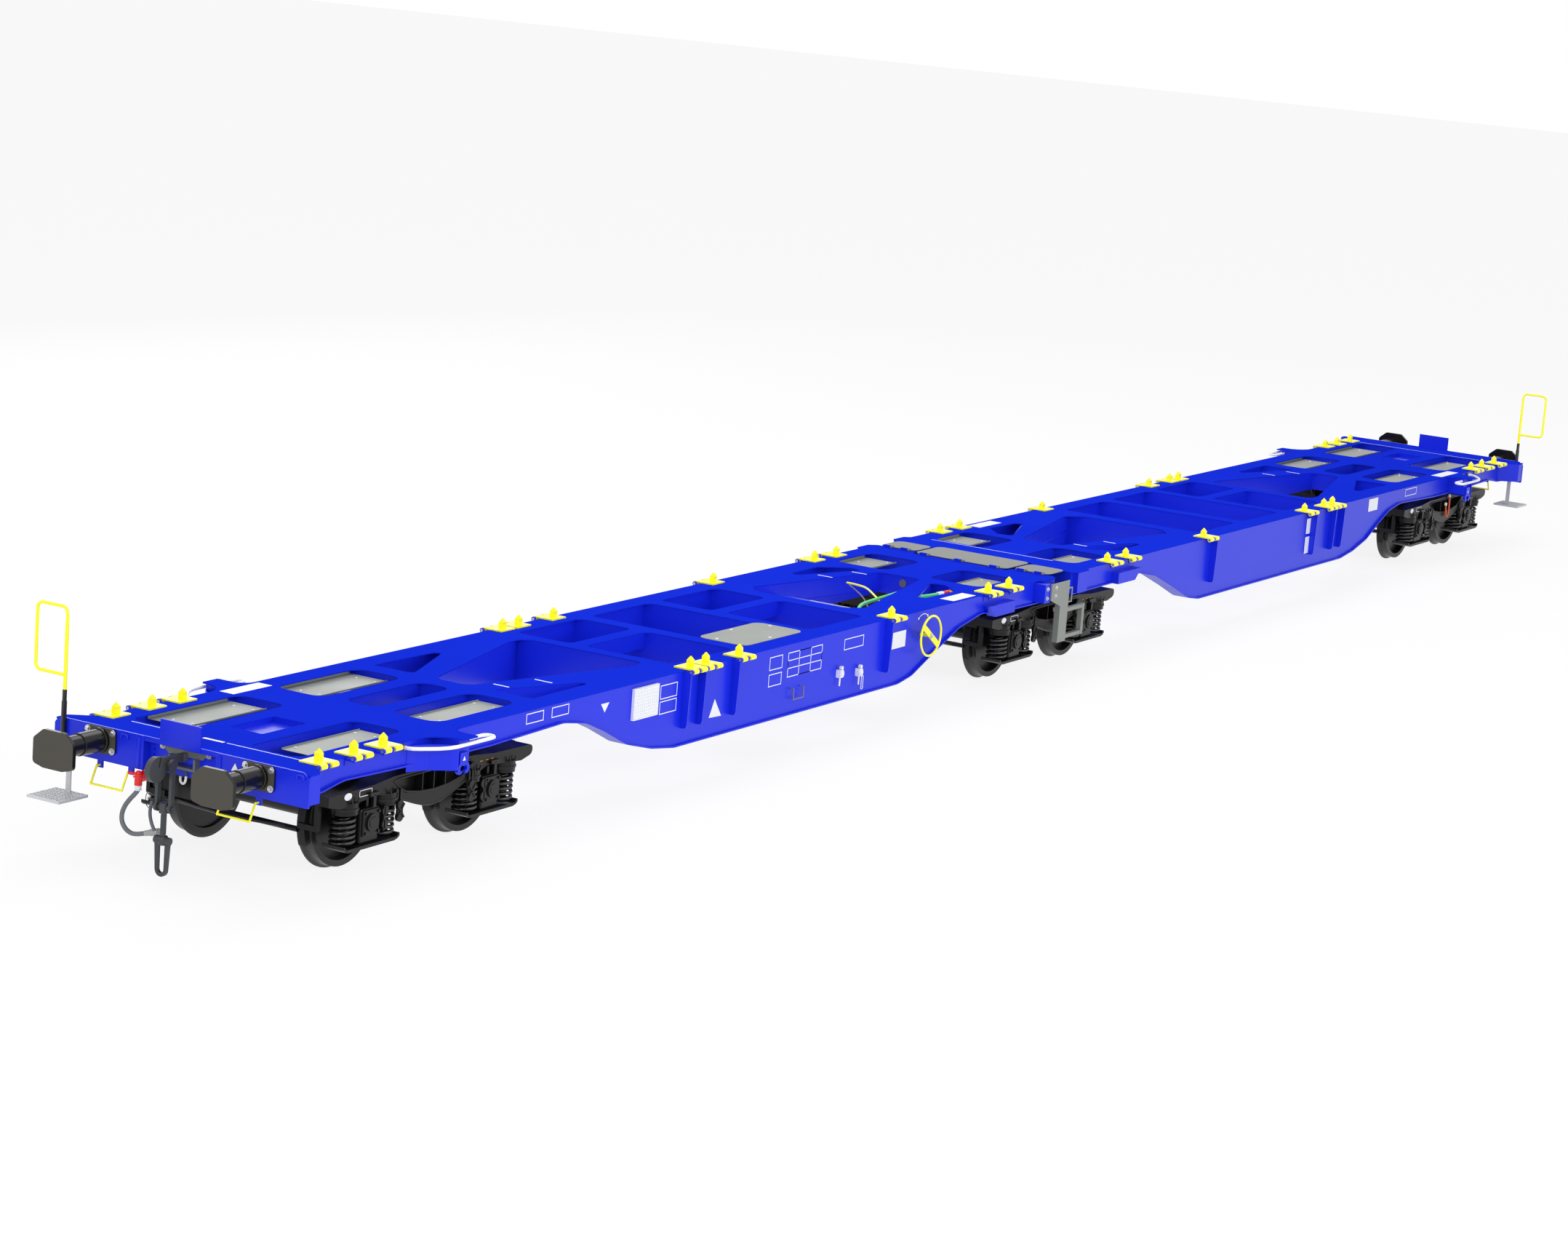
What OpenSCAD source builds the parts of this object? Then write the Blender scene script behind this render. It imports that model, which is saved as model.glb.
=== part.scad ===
// Articulated container flat wagon: two underframes on three two-axle bogies.
// Origin: under the middle pivot, on the ground the wheel flanges stand on.
// +X runs along the track, +Z up. Unit "a" lies towards -X, unit "b" towards +X.

/* [Overall] */
// Length over the buffer faces
length_over_buffers = 29590; // [28600:10:30600]
// Distance between neighbouring bogie pivots
pivot_spacing = 11995; // [11600:5:12400]
// Distance between the two axles of a bogie
bogie_wheelbase = 1800; // [1760:10:2000]
// Height of the deck's top above the rail
deck_height = 1140; // [1120:5:1250]
// Half of the width over the deck plate
deck_half_width = 1180; // [1150:5:1250]

/* [Wheels] */
// Diameter of the wheel on its tread
wheel_diameter = 920; // [840:10:930]
// Depth of the wheel flange below the tread
flange_depth = 28; // [26:1:34]
// Distance between the inner faces of the two wheels
back_to_back = 1360; // [1350:1:1370]
// Width of a wheel over flange and tread
wheel_width = 135; // [120:1:145]
// Diameter of the axle between the wheels
axle_diameter = 170; // [140:5:190]
// Diameter of the axle's journals in the axleboxes
journal_diameter = 130; // [110:5:140]

/* [Underframe] */
// Thickness of the deck plate
deck_plate = 12; // [8:1:20]
// Thickness of the side sill web
sill_web = 10; // [8:1:16]
// Width of the side sill's lower flange
sill_flange = 200; // [150:5:220]
// Thickness of the sill and beam flanges
flange_plate = 14; // [10:1:20]
// Height of the belly's bottom above the rail
belly_height = 385; // [320:5:560]
// Distance of the deck's inner end from the middle pivot
inner_end = 210; // [200:5:260]
// Thickness of the inner beams' webs
beam_web = 12; // [8:1:20]

/* [Buffers and draw gear] */
// Distance of a buffer's centre from the wagon's centre line
buffer_offset = 875; // [860:5:890]
// Height of the buffer centres above the rail
buffer_height = 1035; // [980:5:1065]
// Length of a buffer from its base to its face
buffer_length = 620; // [600:5:650]
// Width of a buffer's head
buffer_head_w = 450; // [360:10:550]
// Height of a buffer's head
buffer_head_h = 340; // [300:10:370]

/* [Spigots] */
// Distance of the spigot posts from the centre line
spigot_offset = 1129.5; // [1100:0.5:1140]
// Height of a spigot above its base plate
spigot_rise = 96; // [80:1:110]
// Diameter of the spigots' hinge pins
hinge_pin_diameter = 30; // [24:1:36]

/* [Hidden] */

blue = "#1a2fe0";
yellow = "#ffff00";
black = "#161616";
steel = "#8a8f8a";
white = "#e8e8f0";
red = "#e02020";
grey = "#5a5e5a";

// Running gaps: between pieces that only pass, between flat seats, and round pins
gap = 5;
seat = 0.3;
pin_gap = 0.3;

// The ground lies one flange depth below the rail's top
rail = flange_depth;
axle_z = rail + wheel_diameter / 2;
deck_z = rail + deck_height;
deck_under = deck_z - deck_plate;
belly_z = rail + belly_height;
buffer_z = rail + buffer_height;
head_x = length_over_buffers / 2 - buffer_length;
head_half = 1410;
web_y = deck_half_width - 10;
flange_out = web_y + 30;
sill_inner = flange_out - sill_flange;
head_low = rail + 850;
head_plate = 18;
wing_half = 1490;

// Stations along one unit, outward from the middle pivot
span = pivot_spacing;
cross_beams = [[3910, 4140], [5250, 5450], [6555, 6750], [7876, 8045]];
spigot_x = [1232, 1716, 3882, 6947, 7569, 7848, 12800, 13217, 13701];

// ---------------------------------------------------------------- helpers

// Points of a circular arc about a centre, from one angle to another
function arc(c, r, a0, a1, n = 6) =
    [for (i = [0 : n]) c + r * [cos(a0 + (a1 - a0) * i / n), sin(a0 + (a1 - a0) * i / n)]];

function unit_vec(v) = v / norm(v);

// One rounded corner of an outline: p before q before s, with radius r
function corner(p, q, s, r, n = 5, share = 0.48) =
    let (
        u = unit_vec(p - q),
        w = unit_vec(s - q),
        half = acos(max(-1, min(1, u * w))) / 2,
        reach = min(r / tan(half), share * norm(p - q), share * norm(s - q)),
        rr = reach * tan(half),
        c = q + unit_vec(u + w) * reach / cos(half),
        a = q + u * reach,
        b = q + w * reach,
        a0 = atan2(a[1] - c[1], a[0] - c[0]),
        a1 = atan2(b[1] - c[1], b[0] - c[0]),
        turn = a1 - a0 > 180 ? a1 - a0 - 360 : (a1 - a0 < -180 ? a1 - a0 + 360 : a1 - a0)
    )
    half > 89 ? [q] : [for (i = [0 : n]) c + rr * [cos(a0 + turn * i / n), sin(a0 + turn * i / n)]];

// A closed outline with every corner rounded
function rounded(pts, r) =
    let (m = len(pts))
    [for (i = [0 : m - 1]) each corner(pts[(i + m - 1) % m], pts[i], pts[(i + 1) % m], r)];

// An open path with its inner corners rounded
function bent(pts, r) =
    let (m = len(pts))
    concat([pts[0]], [for (i = [1 : m - 2]) each corner(pts[i - 1], pts[i], pts[i + 1], r)], [pts[m - 1]]);

// The same with a radius of its own at every point, given third
function flat2(p) = [p[0], p[1]];
function bent_each(pts) =
    let (m = len(pts))
    concat([flat2(pts[0])], [for (i = [1 : m - 2])
        each corner(flat2(pts[i - 1]), flat2(pts[i]), flat2(pts[i + 1]), pts[i][2], 6, 0.85)], [flat2(pts[m - 1])]);

// A narrow band beside a path, shifted by d
function band(pts, d) = concat(pts, flip([for (p = pts) p + d]));

function flip(pts) = [for (i = [len(pts) - 1 : -1 : 0]) pts[i]];
function mirror_y(pts) = flip([for (p = pts) [p[0], -p[1]]]);

// A plate in the x-z plane: its outline, its near face and its thickness along y
module upright(pts, y0, t) {
    translate([0, y0 + t, 0]) rotate([90, 0, 0]) linear_extrude(t) polygon(pts);
}

// A plate across the wagon: outline in y-z, first face x0, thickness along x
module crosswise(pts, x0, t) {
    translate([x0, 0, 0]) rotate([90, 0, 90]) linear_extrude(t) polygon(pts);
}

module block(x0, x1, y0, y1, z0, z1) {
    translate([x0, y0, z0]) cube([x1 - x0, y1 - y0, z1 - z0]);
}

module rod(p, q, d) {
    v = q - p;
    translate(p) rotate([0, acos(v[2] / norm(v)), atan2(v[1], v[0])]) cylinder(d = d, h = norm(v), $fn = 24);
}

// A round bar that turns sharply at ball-shaped corners
module bar_path(pts, d) {
    for (i = [0 : len(pts) - 2]) rod(pts[i], pts[i + 1], d);
    for (i = [1 : len(pts) - 2]) translate(pts[i]) sphere(d = d + 2, $fn = 24);
}

// How far before a corner its bend of radius r begins; nothing at the two ends
function bend_reach(pts, i, r) =
    i <= 0 || i >= len(pts) - 1 ? 0 :
    let (a = unit_vec(pts[i] - pts[i - 1]), b = unit_vec(pts[i + 1] - pts[i])) r * tan(acos(a * b) / 2);

// A round bar of diameter d bent along a list of points, with bends of radius r
module bent_bar(pts, d, r) {
    for (i = [0 : len(pts) - 2]) {
        a = unit_vec(pts[i + 1] - pts[i]);
        rod(pts[i] + a * bend_reach(pts, i, r), pts[i + 1] - a * bend_reach(pts, i + 1, r), d);
    }
    for (i = [1 : len(pts) - 2]) {
        a = unit_vec(pts[i] - pts[i - 1]);
        b = unit_vec(pts[i + 1] - pts[i]);
        turn = acos(a * b);
        centre = pts[i] + unit_vec(b - a) * r / cos(turn / 2);
        x = unit_vec(pts[i] - a * bend_reach(pts, i, r) - centre);
        z = cross(x, a);
        multmatrix([
            [x[0], a[0], z[0], centre[0]],
            [x[1], a[1], z[1], centre[1]],
            [x[2], a[2], z[2], centre[2]],
            [0, 0, 0, 1]
        ]) rotate_extrude(angle = turn) translate([r, 0]) circle(d = d, $fn = 24);
    }
}

// Rounded tube of a hose swept along its own points
function ring_at(p, dir, r, n, side) =
    let (
        w = unit_vec(dir),
        u = unit_vec(cross(side, w)),
        v = cross(w, u)
    )
    [for (k = [0 : n - 1]) p + r * (cos(360 * k / n) * u + sin(360 * k / n) * v)];

// "side" is a direction that the route never takes
module hose(pts, d, side, n = 10) {
    m = len(pts);
    dirs = [for (i = [0 : m - 1]) pts[min(i + 1, m - 1)] - pts[max(i - 1, 0)]];
    verts = [for (i = [0 : m - 1]) each ring_at(pts[i], dirs[i], d / 2, n, side)];
    walls = [for (i = [0 : m - 2]) for (k = [0 : n - 1])
        [i * n + k, i * n + (k + 1) % n, (i + 1) * n + (k + 1) % n, (i + 1) * n + k]];
    first = [for (k = [n - 1 : -1 : 0]) k];
    last = [for (k = [0 : n - 1]) (m - 1) * n + k];
    polyhedron(points = verts, faces = concat([first], walls, [last]), convexity = 10);
}

// Unit a is unit b turned half round about the middle pivot
module on_unit(which) {
    rotate([0, 0, which == "a" ? 180 : 0]) children();
}

// ---------------------------------------------------------------- underframe

// Lower edge of a side sill, from the inner end to the headstock
function sill_edge() = bent([
    [inner_end + 20, rail + 870],
    [1300, rail + 880],
    [1950, rail + 925],
    [2450, rail + 830],
    [3000, rail + 620],
    [3450, rail + 435],
    [3750, belly_z],
    [8150, belly_z],
    [8560, belly_z + 55],
    [span - 2995, rail + 550],
    [span - 2595, rail + 740],
    [span - 2275, rail + 870],
    [span - 1900, rail + 930],
    [span - 700, rail + 895],
    [span + 250, rail + 900],
    [13420, rail + 930],
    [13720, head_low + 25],
    [head_x - head_plate, head_low + 10]
], 500);

// Outer edge of one side of the deck, with its wing over the bogie and its flare at the headstock
function deck_edge() = bent_each([
    [inner_end + 120, 600, 0], [inner_end + 120, 620, 8], [inner_end, 640, 20], [inner_end, deck_half_width - 20, 20],
    [inner_end + 90, deck_half_width + 65, 30], [inner_end + 340, deck_half_width + 65, 30],
    [inner_end + 400, deck_half_width, 60],
    [span - 125, deck_half_width, 150], [span - 125, wing_half, 20], [span + 105, wing_half, 20],
    [span + 105, deck_half_width, 255],
    [head_x - 330, deck_half_width, 80], [head_x - 150, head_half, 60], [head_x - head_plate, head_half, 0]
]);

module deck_outline() {
    polygon(concat(deck_edge(), mirror_y(deck_edge())));
}

// Openings on both sides of the centre line, each with its corner radius
function side_holes() = [
    [120, [[span + 245, 375], [span + 1745, 375], [span + 1745, 940], [span + 245, 940]]],
    [140, [[span - 1505, 385], [span - 260, 385], [span - 260, 935], [span - 1505, 935]]],
    [50, [[9090, 900], [span - 1755, 450], [span - 1740, 930]]],
    [60, [[1805, 440], [2930, 850], [2040, 890], [1770, 620]]],
    [130, [[740, 270], [1570, 270], [1570, 950], [740, 950]]]
];

// Openings on the centre line
function centre_holes() = [
    [20, [[span + 675, -185], [span + 1295, -185], [span + 1295, 185], [span + 675, 185]]],
    [130, [[span - 1505, -185], [span - 315, -185], [span - 315, 185], [span - 1505, 185]]],
    [150, [[span - 1735, -190], [span - 1735, 190], [8300, 730], [8045, 730], [8045, -730], [8300, -730]]],
    [90, [[1715, -260], [1715, 260], [1950, 320], [3720, 715], [3910, 560], [3910, -560], [3720, -715], [1950, -320]]]
];

// A walkway strip runs through some bays, always on the +Y side of the wagon
strip_y = [110, 280];
strip_bays = [0, 1, 2];

function has_strip(which, bay) = bay == 2 || (bay == 0 && which == "a");

module bay_hole(which, bay) {
    x0 = cross_beams[bay][1];
    x1 = cross_beams[bay + 1][0];
    side = which == "a" ? -1 : 1;
    if (has_strip(which, bay)) {
        polygon(rounded([[x0, side * strip_y[1]], [x1, side * strip_y[1]], [x1, side * 940], [x0, side * 940]], 90));
        polygon(rounded([[x0, side * strip_y[0]], [x1, side * strip_y[0]], [x1, side * -940], [x0, side * -940]], 90));
    } else {
        polygon(rounded([[x0, -940], [x1, -940], [x1, 940], [x0, 940]], 90));
    }
}

// Hinge blocks of the footplates between the units
foot_hinges = [
    [inner_end + 62, 1000], [inner_end + 62, 770], [inner_end + 152, 460], [inner_end + 152, 0],
    [inner_end + 152, -460], [inner_end + 62, -770], [inner_end + 62, -1000]
];

module deck(which) {
    color(blue) on_unit(which) union() {
        translate([0, 0, deck_under]) linear_extrude(deck_plate) difference() {
            deck_outline();
            for (h = side_holes()) {
                polygon(rounded(h[1], h[0]));
                mirror([0, 1]) polygon(rounded(h[1], h[0]));
            }
            for (h = centre_holes()) polygon(rounded(h[1], h[0]));
            for (bay = strip_bays) bay_hole(which, bay);
        }
        if (which == "a") for (p = foot_hinges) difference() {
            block(p[0] - 16, p[0] + 22, p[1] - 42, p[1] + 42, deck_z, deck_z + 32);
            translate([p[0], p[1] - 50, deck_z + 18]) rotate([-90, 0, 0]) cylinder(r = 8 + pin_gap, h = 100);
        }
    }
}

// Hinge lugs of one spigot, on the outside of the sill
lug_y = deck_half_width + 78;
pin_z = deck_z - 12;
knuckle_r = 26;

// Two lugs of one spigot's hinge: at the pin's outer end and between the knuckles
module lugs(x) {
    for (v = [[24, 21], [157, 24]]) difference() {
        union() {
            upright([
                [x + v[0], pin_z - 70], [x + v[0] + 20, pin_z - 70], [x + v[0] + 20, deck_under - seat],
                [x + v[0], deck_under - seat]
            ], web_y - 5, 12);
            translate([x + v[0], lug_y, pin_z]) rotate([0, 90, 0]) cylinder(r = v[1], h = 20);
            block(x + v[0], x + v[0] + 20, web_y - 5, lug_y, pin_z - v[1], deck_under - seat);
        }
        translate([x + v[0] - 20, lug_y, pin_z]) rotate([0, 90, 0])
            cylinder(d = hinge_pin_diameter + 2 * pin_gap, h = 60);
    }
}

// Long gusset that stands out from the web below a spigot's outer lug
module rib(x) {
    crosswise(bent_each([
        [web_y - 5, pin_z - 20, 0], [web_y - 5, rail + 560, 0], [web_y + 74, rail + 560, 36], [web_y + 86, rail + 900, 60],
        [web_y + 90, pin_z - 20, 0], [web_y - 5, pin_z - 20, 0]
    ]), x + 157, 20);
}

module sill() {
    edge = sill_edge();
    top = deck_under;
    side = concat(edge, [[head_x - head_plate, top], [inner_end + 20, top]]);
    union() {
        upright(side, web_y - sill_web, sill_web);
        upright(side, sill_inner, sill_web);
        upright(band(edge, [0, flange_plate]), sill_inner, sill_flange);
        for (i = [2 : 5]) rib(spigot_x[i]);
        for (x = spigot_x) lugs(x);
        // plates that close the box at both ends
        block(inner_end + 20, inner_end + 34, sill_inner, web_y, rail + 880, top);
        block(inner_end + 90, inner_end + 104, web_y - 5, web_y + 65, rail + 885, top);
        block(inner_end + 90, inner_end + 340, web_y + 57, web_y + 65, rail + 885, top);
        block(inner_end + 330, inner_end + 340, web_y - 5, web_y + 65, rail + 885, top);
        // jacking bracket between the two innermost spigots
        upright([[1300, rail + 1010], [1300, rail + 878], [1750, rail + 878], [1900, rail + 1010]], web_y - 5, 105);
        // flaring cheek behind the headstock
        linear_height(band([[head_x - 345, web_y - 9], [head_x - 155, head_half - 14], [head_x - head_plate, head_half - 14]],
            [-2, 10]), head_low + 25, top);
        wing();
    }
}

module linear_height(pts, z0, z1) {
    translate([0, 0, z0]) linear_extrude(z1 - z0) polygon(pts);
}

// Wing over the bogie: web, curved skirt and the double rope hook below its tip
module wing() {
    linear_height(band([
        [span + 500, web_y - 5], [span + 400, web_y + 22], [span + 300, web_y + 75], [span + 210, web_y + 155],
        [span + 150, web_y + 225], [span + 100, web_y + 262]
    ], [5, 8]), rail + 850, rail + 1085);
    block(span + 92, span + 104, web_y - 5, web_y + 268, rail + 850, deck_under);
    block(span - 112, span - 100, web_y - 5, web_y + 230, rail + 900, deck_under);
    block(span - 112, span + 104, web_y + 222, web_y + 232, rail + 900, deck_under);
    rope_hook();
}

module rope_hook() {
    half = [
        [span, rail + 1000], [span + 60, rail + 1000], [span + 60, rail + 905], [span + 88, rail + 872],
        [span + 88, rail + 830], [span + 64, rail + 803], [span + 30, rail + 803], [span + 22, rail + 828],
        [span + 46, rail + 838], [span + 52, rail + 858], [span + 30, rail + 884], [span, rail + 874]
    ];
    upright(half, web_y + 230, 34);
    upright(flip([for (p = half) [2 * span - p[0], p[1]]]), web_y + 230, 34);
}

module left_sill(which) {
    color(blue) on_unit(which) mirror([0, which == "a" ? 1 : 0, 0]) sill();
}

module right_sill(which) {
    color(blue) on_unit(which) mirror([0, which == "a" ? 0 : 1, 0]) {
        sill();
        // bracket that carries the ladder
        if (which == "a") block(550, 680, web_y - 2, web_y + 150, rail + 900, rail + 1115);
    }
}

// Inner frame: box beams under the plate between the openings
inner_y = 250;
beam_low = rail + 905;
bay_low = rail + 620;

// Box beam across the wagon: two webs and a bottom plate
module cross_box(x0, x1, y0, y1, z0) {
    block(x0 + 4, x0 + 4 + beam_web, y0, y1, z0, deck_under);
    block(x1 - 4 - beam_web, x1 - 4, y0, y1, z0, deck_under);
    block(x0 + 4, x1 - 4, y0, y1, z0, z0 + flange_plate);
}

// The same along the wagon
module long_box(x0, x1, y0, y1, z0) {
    block(x0, x1, y0 + 4, y0 + 4 + beam_web, z0, deck_under);
    block(x0, x1, y1 - 4 - beam_web, y1 - 4, z0, deck_under);
    block(x0, x1, y0 + 4, y1 - 4, z0, z0 + flange_plate);
}

// Slanted web between two plan points, with its own lower height at each
module slant_web(p, q, zp, zq) {
    v = q - p;
    translate([p[0], p[1], 0]) rotate([0, 0, atan2(v[1], v[0])])
        upright([[0, zp], [norm(v), zq], [norm(v), deck_under], [0, deck_under]], -beam_web / 2, beam_web);
}

module slant_floor(pts) {
    linear_height(pts, beam_low + 6, beam_low + 6 + flange_plate);
}

module beams(which) {
    up = which == "a" ? -1 : 1;
    color(blue) on_unit(which) union() {
        for (m = [0, 1]) mirror([0, m, 0]) {
            long_box(span - 1720, head_x - 121, 185, 375, beam_low);
            // diagonals that lead from the bogies to the deep middle
            slant_web([span - 1715, 208], [8055, 808], beam_low - 4, rail + 700);
            slant_web([span - 1715, 430], [8890, sill_inner - 30], beam_low - 4, rail + 800);
            slant_floor([[span - 1722, 206], [8048, 808], [8200, sill_inner], [8900, sill_inner], [span - 1722, 438]]);
            slant_web([1699, 275], [3920, 770], beam_low - 4, rail + 700);
            slant_web([1699, 400], [3200, sill_inner - 30], beam_low - 4, rail + 800);
            slant_floor([[1701, 258], [3922, 750], [3800, sill_inner - 1], [3170, sill_inner - 1], [1701, 425]]);
            // inner end
            block(inner_end + 20, inner_end + 34, 640, sill_inner, rail + 900, deck_under);
            block(inner_end + 125, inner_end + 137, inner_y + 12, 640, rail + 900, deck_under);
            block(inner_end + 20, inner_end + 137, 632, 644, rail + 900, deck_under);
            block(718, 730, inner_y, sill_inner, rail + 965, deck_under);
            block(inner_end + 125, 1590, inner_y, inner_y + beam_web, rail + 1040, deck_under);
        }
        cross_box(1576, 1709, -sill_inner, sill_inner, beam_low);
        cross_box(span - 1729, span - 1511, -sill_inner, sill_inner, beam_low);
        cross_box(span + 1751, span + 1860, -sill_inner, sill_inner, beam_low);
        for (b = cross_beams) cross_box(b[0], b[1], -sill_inner, sill_inner, bay_low);
        for (bay = strip_bays) if (has_strip(which, bay))
            long_box(cross_beams[bay][1] - 4, cross_beams[bay + 1][0] + 4, min(up * strip_y[0], up * strip_y[1]),
                max(up * strip_y[0], up * strip_y[1]), deck_under - 160);
        // shallow pocket in the middle of the outer end
        block(span + 665, span + 1305, -189, 189, deck_under - 46, deck_under - 40);
        for (x = [span + 665, span + 1299]) block(x, x + 6, -189, 189, deck_under - 46, deck_under);
        // bolster over the bogie with its centre plate
        cross_box(span - 256, span + 241, -sill_inner, sill_inner, rail + 900);
        translate([span, 0, rail + 872]) cylinder(r = 190, h = 30);
        tongue(which);
    }
}

// Articulation: unit a carries the seat, unit b the pin that stands in it
tongue_r = 230;
tongue_split = rail + 960;
pivot_pin_r = 60;

module tongue(which) {
    if (which == "a") {
        difference() {
            union() {
                block(0, 1590, -inner_y - beam_web, inner_y + beam_web, rail + 905, tongue_split - seat);
                translate([0, 0, rail + 905]) cylinder(r = tongue_r, h = tongue_split - seat - rail - 905);
            }
            translate([0, 0, rail + 800]) cylinder(r = pivot_pin_r + pin_gap, h = 300);
        }
        for (m = [0, 1]) mirror([0, m, 0])
            block(inner_end + 125, 1590, inner_y, inner_y + beam_web, tongue_split - 10, rail + 1045);
        translate([0, 0, rail + 872]) difference() {
            cylinder(r = 190, h = 40);
            translate([0, 0, -1]) cylinder(r = pivot_pin_r + pin_gap, h = 60);
        }
    } else {
        block(0, 1590, -inner_y - beam_web, inner_y + beam_web, tongue_split, tongue_split + 70);
        for (m = [0, 1]) mirror([0, m, 0])
            block(inner_end + 125, 1590, inner_y, inner_y + beam_web, tongue_split + 60, rail + 1045);
        translate([0, 0, tongue_split]) cylinder(r = tongue_r, h = 70);
        translate([0, 0, tongue_split - 50]) cylinder(r = pivot_pin_r, h = 60);
    }
}

// ---------------------------------------------------------------- ends

release_y = [530, 880];

head_top = deck_z + 15;

module headstock(which) {
    color(blue) on_unit(which) union() {
        for (m = [0, 1]) mirror([0, m, 0]) {
            crosswise(bent_each([
                [430, head_low, 0], [head_half, head_low, 12], [head_half, deck_under - 20, 40], [head_half - 70, head_top, 40],
                [430, head_top, 0], [430, head_low, 0]
            ]), head_x - head_plate, head_plate);
            // rounded post beside the opening for the draw gear
            block(head_x - 120, head_x - head_plate, 400, 416, head_low, deck_under);
            block(head_x - head_plate, head_x, 400, 432, head_low, head_top);
            translate([head_x, 450, head_low + 20]) cylinder(r = 16, h = head_top - head_low - 40);
            for (y = release_y) difference() {
                block(head_x - 16, head_x, y - 30, y + 30, head_low - 65, head_low + 5);
                translate([head_x - 30, y, head_low - 40]) rotate([0, 90, 0]) cylinder(r = 10, h = 40);
            }
        }
        difference() {
            block(head_x - 120, head_x - 100, -400, 400, head_low, deck_under);
            block(head_x - 130, head_x - 90, -28 - seat, 28 + seat, buffer_z - 32 - seat, buffer_z + 32 + seat);
            for (y = [-360, 360]) for (z = [-105, -55, -5, 45]) translate([head_x - 130, y, buffer_z + z])
                rotate([0, 90, 0]) cylinder(r = 9, h = 60);
        }
        // raised plate above the draw gear
        block(head_x - 15, head_x, -225, 225, deck_z - 25, deck_z + 200);
        block(head_x - head_plate, head_x - 6, -430, 430, deck_z - 30, head_top);
        block(head_x - 110, head_x - head_plate, -225, 225, deck_under - 14, deck_under);
    }
}

module buffer(s) {
    base_t = 20;
    translate([head_x, s * buffer_offset, buffer_z]) {
        rotate([90, 0, 90]) linear_extrude(base_t) polygon(rounded([
            [-175, -115], [175, -115], [175, 115], [-175, 115]
        ], 45));
        translate([base_t, 0, 0]) rotate([0, 90, 0]) cylinder(r = 112, h = 30);
        translate([base_t + 30, 0, 0]) rotate([0, 90, 0]) cylinder(r = 102, h = 250);
        translate([base_t + 280, 0, 0]) rotate([0, 90, 0]) cylinder(r = 92, h = buffer_length - base_t - 280 - 40);
        translate([buffer_length - 40, 0, 0]) rotate([90, 0, 90]) linear_extrude(40) polygon(rounded([
            [-buffer_head_w / 2, -buffer_head_h / 2 + 30],
            [-buffer_head_w / 2 + 120, -buffer_head_h / 2],
            [buffer_head_w / 2 - 120, -buffer_head_h / 2],
            [buffer_head_w / 2, -buffer_head_h / 2 + 30],
            [buffer_head_w / 2, buffer_head_h / 2 - 90],
            [buffer_head_w / 2 - 110, buffer_head_h / 2],
            [-buffer_head_w / 2 + 110, buffer_head_h / 2],
            [-buffer_head_w / 2, buffer_head_h / 2 - 90]
        ], 40));
    }
}

module buffers(which) {
    color(grey) on_unit(which) for (s = [-1, 1]) buffer(s);
}

// Draw hook with its guide, and the screw coupling that hangs in it
hook_x = head_x + 170;
hook_pin_z = buffer_z - 20;
hook_pin_r = 26;

lobe_x = hook_x + 135;
lobe_z = buffer_z - 55;
lobe_r = 112;
recess_x = head_x - 100;

module draw_hook(which) {
    color(grey) on_unit(which) {
        difference() {
            union() {
                upright([
                    [head_x - 300, buffer_z - 32], [hook_x - 75, buffer_z - 32], [hook_x - 45, buffer_z - 75],
                    [lobe_x - 40, buffer_z - 110], [lobe_x, buffer_z + 40], [hook_x - 20, buffer_z + 40],
                    [hook_x - 75, buffer_z + 32], [head_x - 300, buffer_z + 32]
                ], -28, 56);
                translate([lobe_x, 28, lobe_z]) rotate([90, 0, 0]) cylinder(r = lobe_r, h = 56, $fn = 64);
            }
            translate([hook_x, 40, hook_pin_z]) rotate([90, 0, 0]) cylinder(r = hook_pin_r + pin_gap, h = 80);
            // mouth of the hook
            upright([
                [lobe_x - 20, lobe_z + 18], [lobe_x - 6, lobe_z + 18], [lobe_x - 26, lobe_z + 130], [lobe_x - 50, lobe_z + 130]
            ], -40, 80);
        }
        // guide plate in the recess, with the stirrup below the shank
        crosswise([
            [-285, buffer_z + 22], [-215, buffer_z + 22], [-190, buffer_z - 4], [190, buffer_z - 4], [215, buffer_z + 22],
            [285, buffer_z + 22], [285, buffer_z + 76], [-285, buffer_z + 76]
        ], recess_x + seat, 18);
        difference() {
            block(recess_x + seat, recess_x + 70, -150, 150, buffer_z - 110, buffer_z);
            block(recess_x - 10, recess_x + 80, -128, 128, buffer_z - 88, buffer_z + 10);
        }
    }
}

coupling_drop = 1000;

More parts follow.
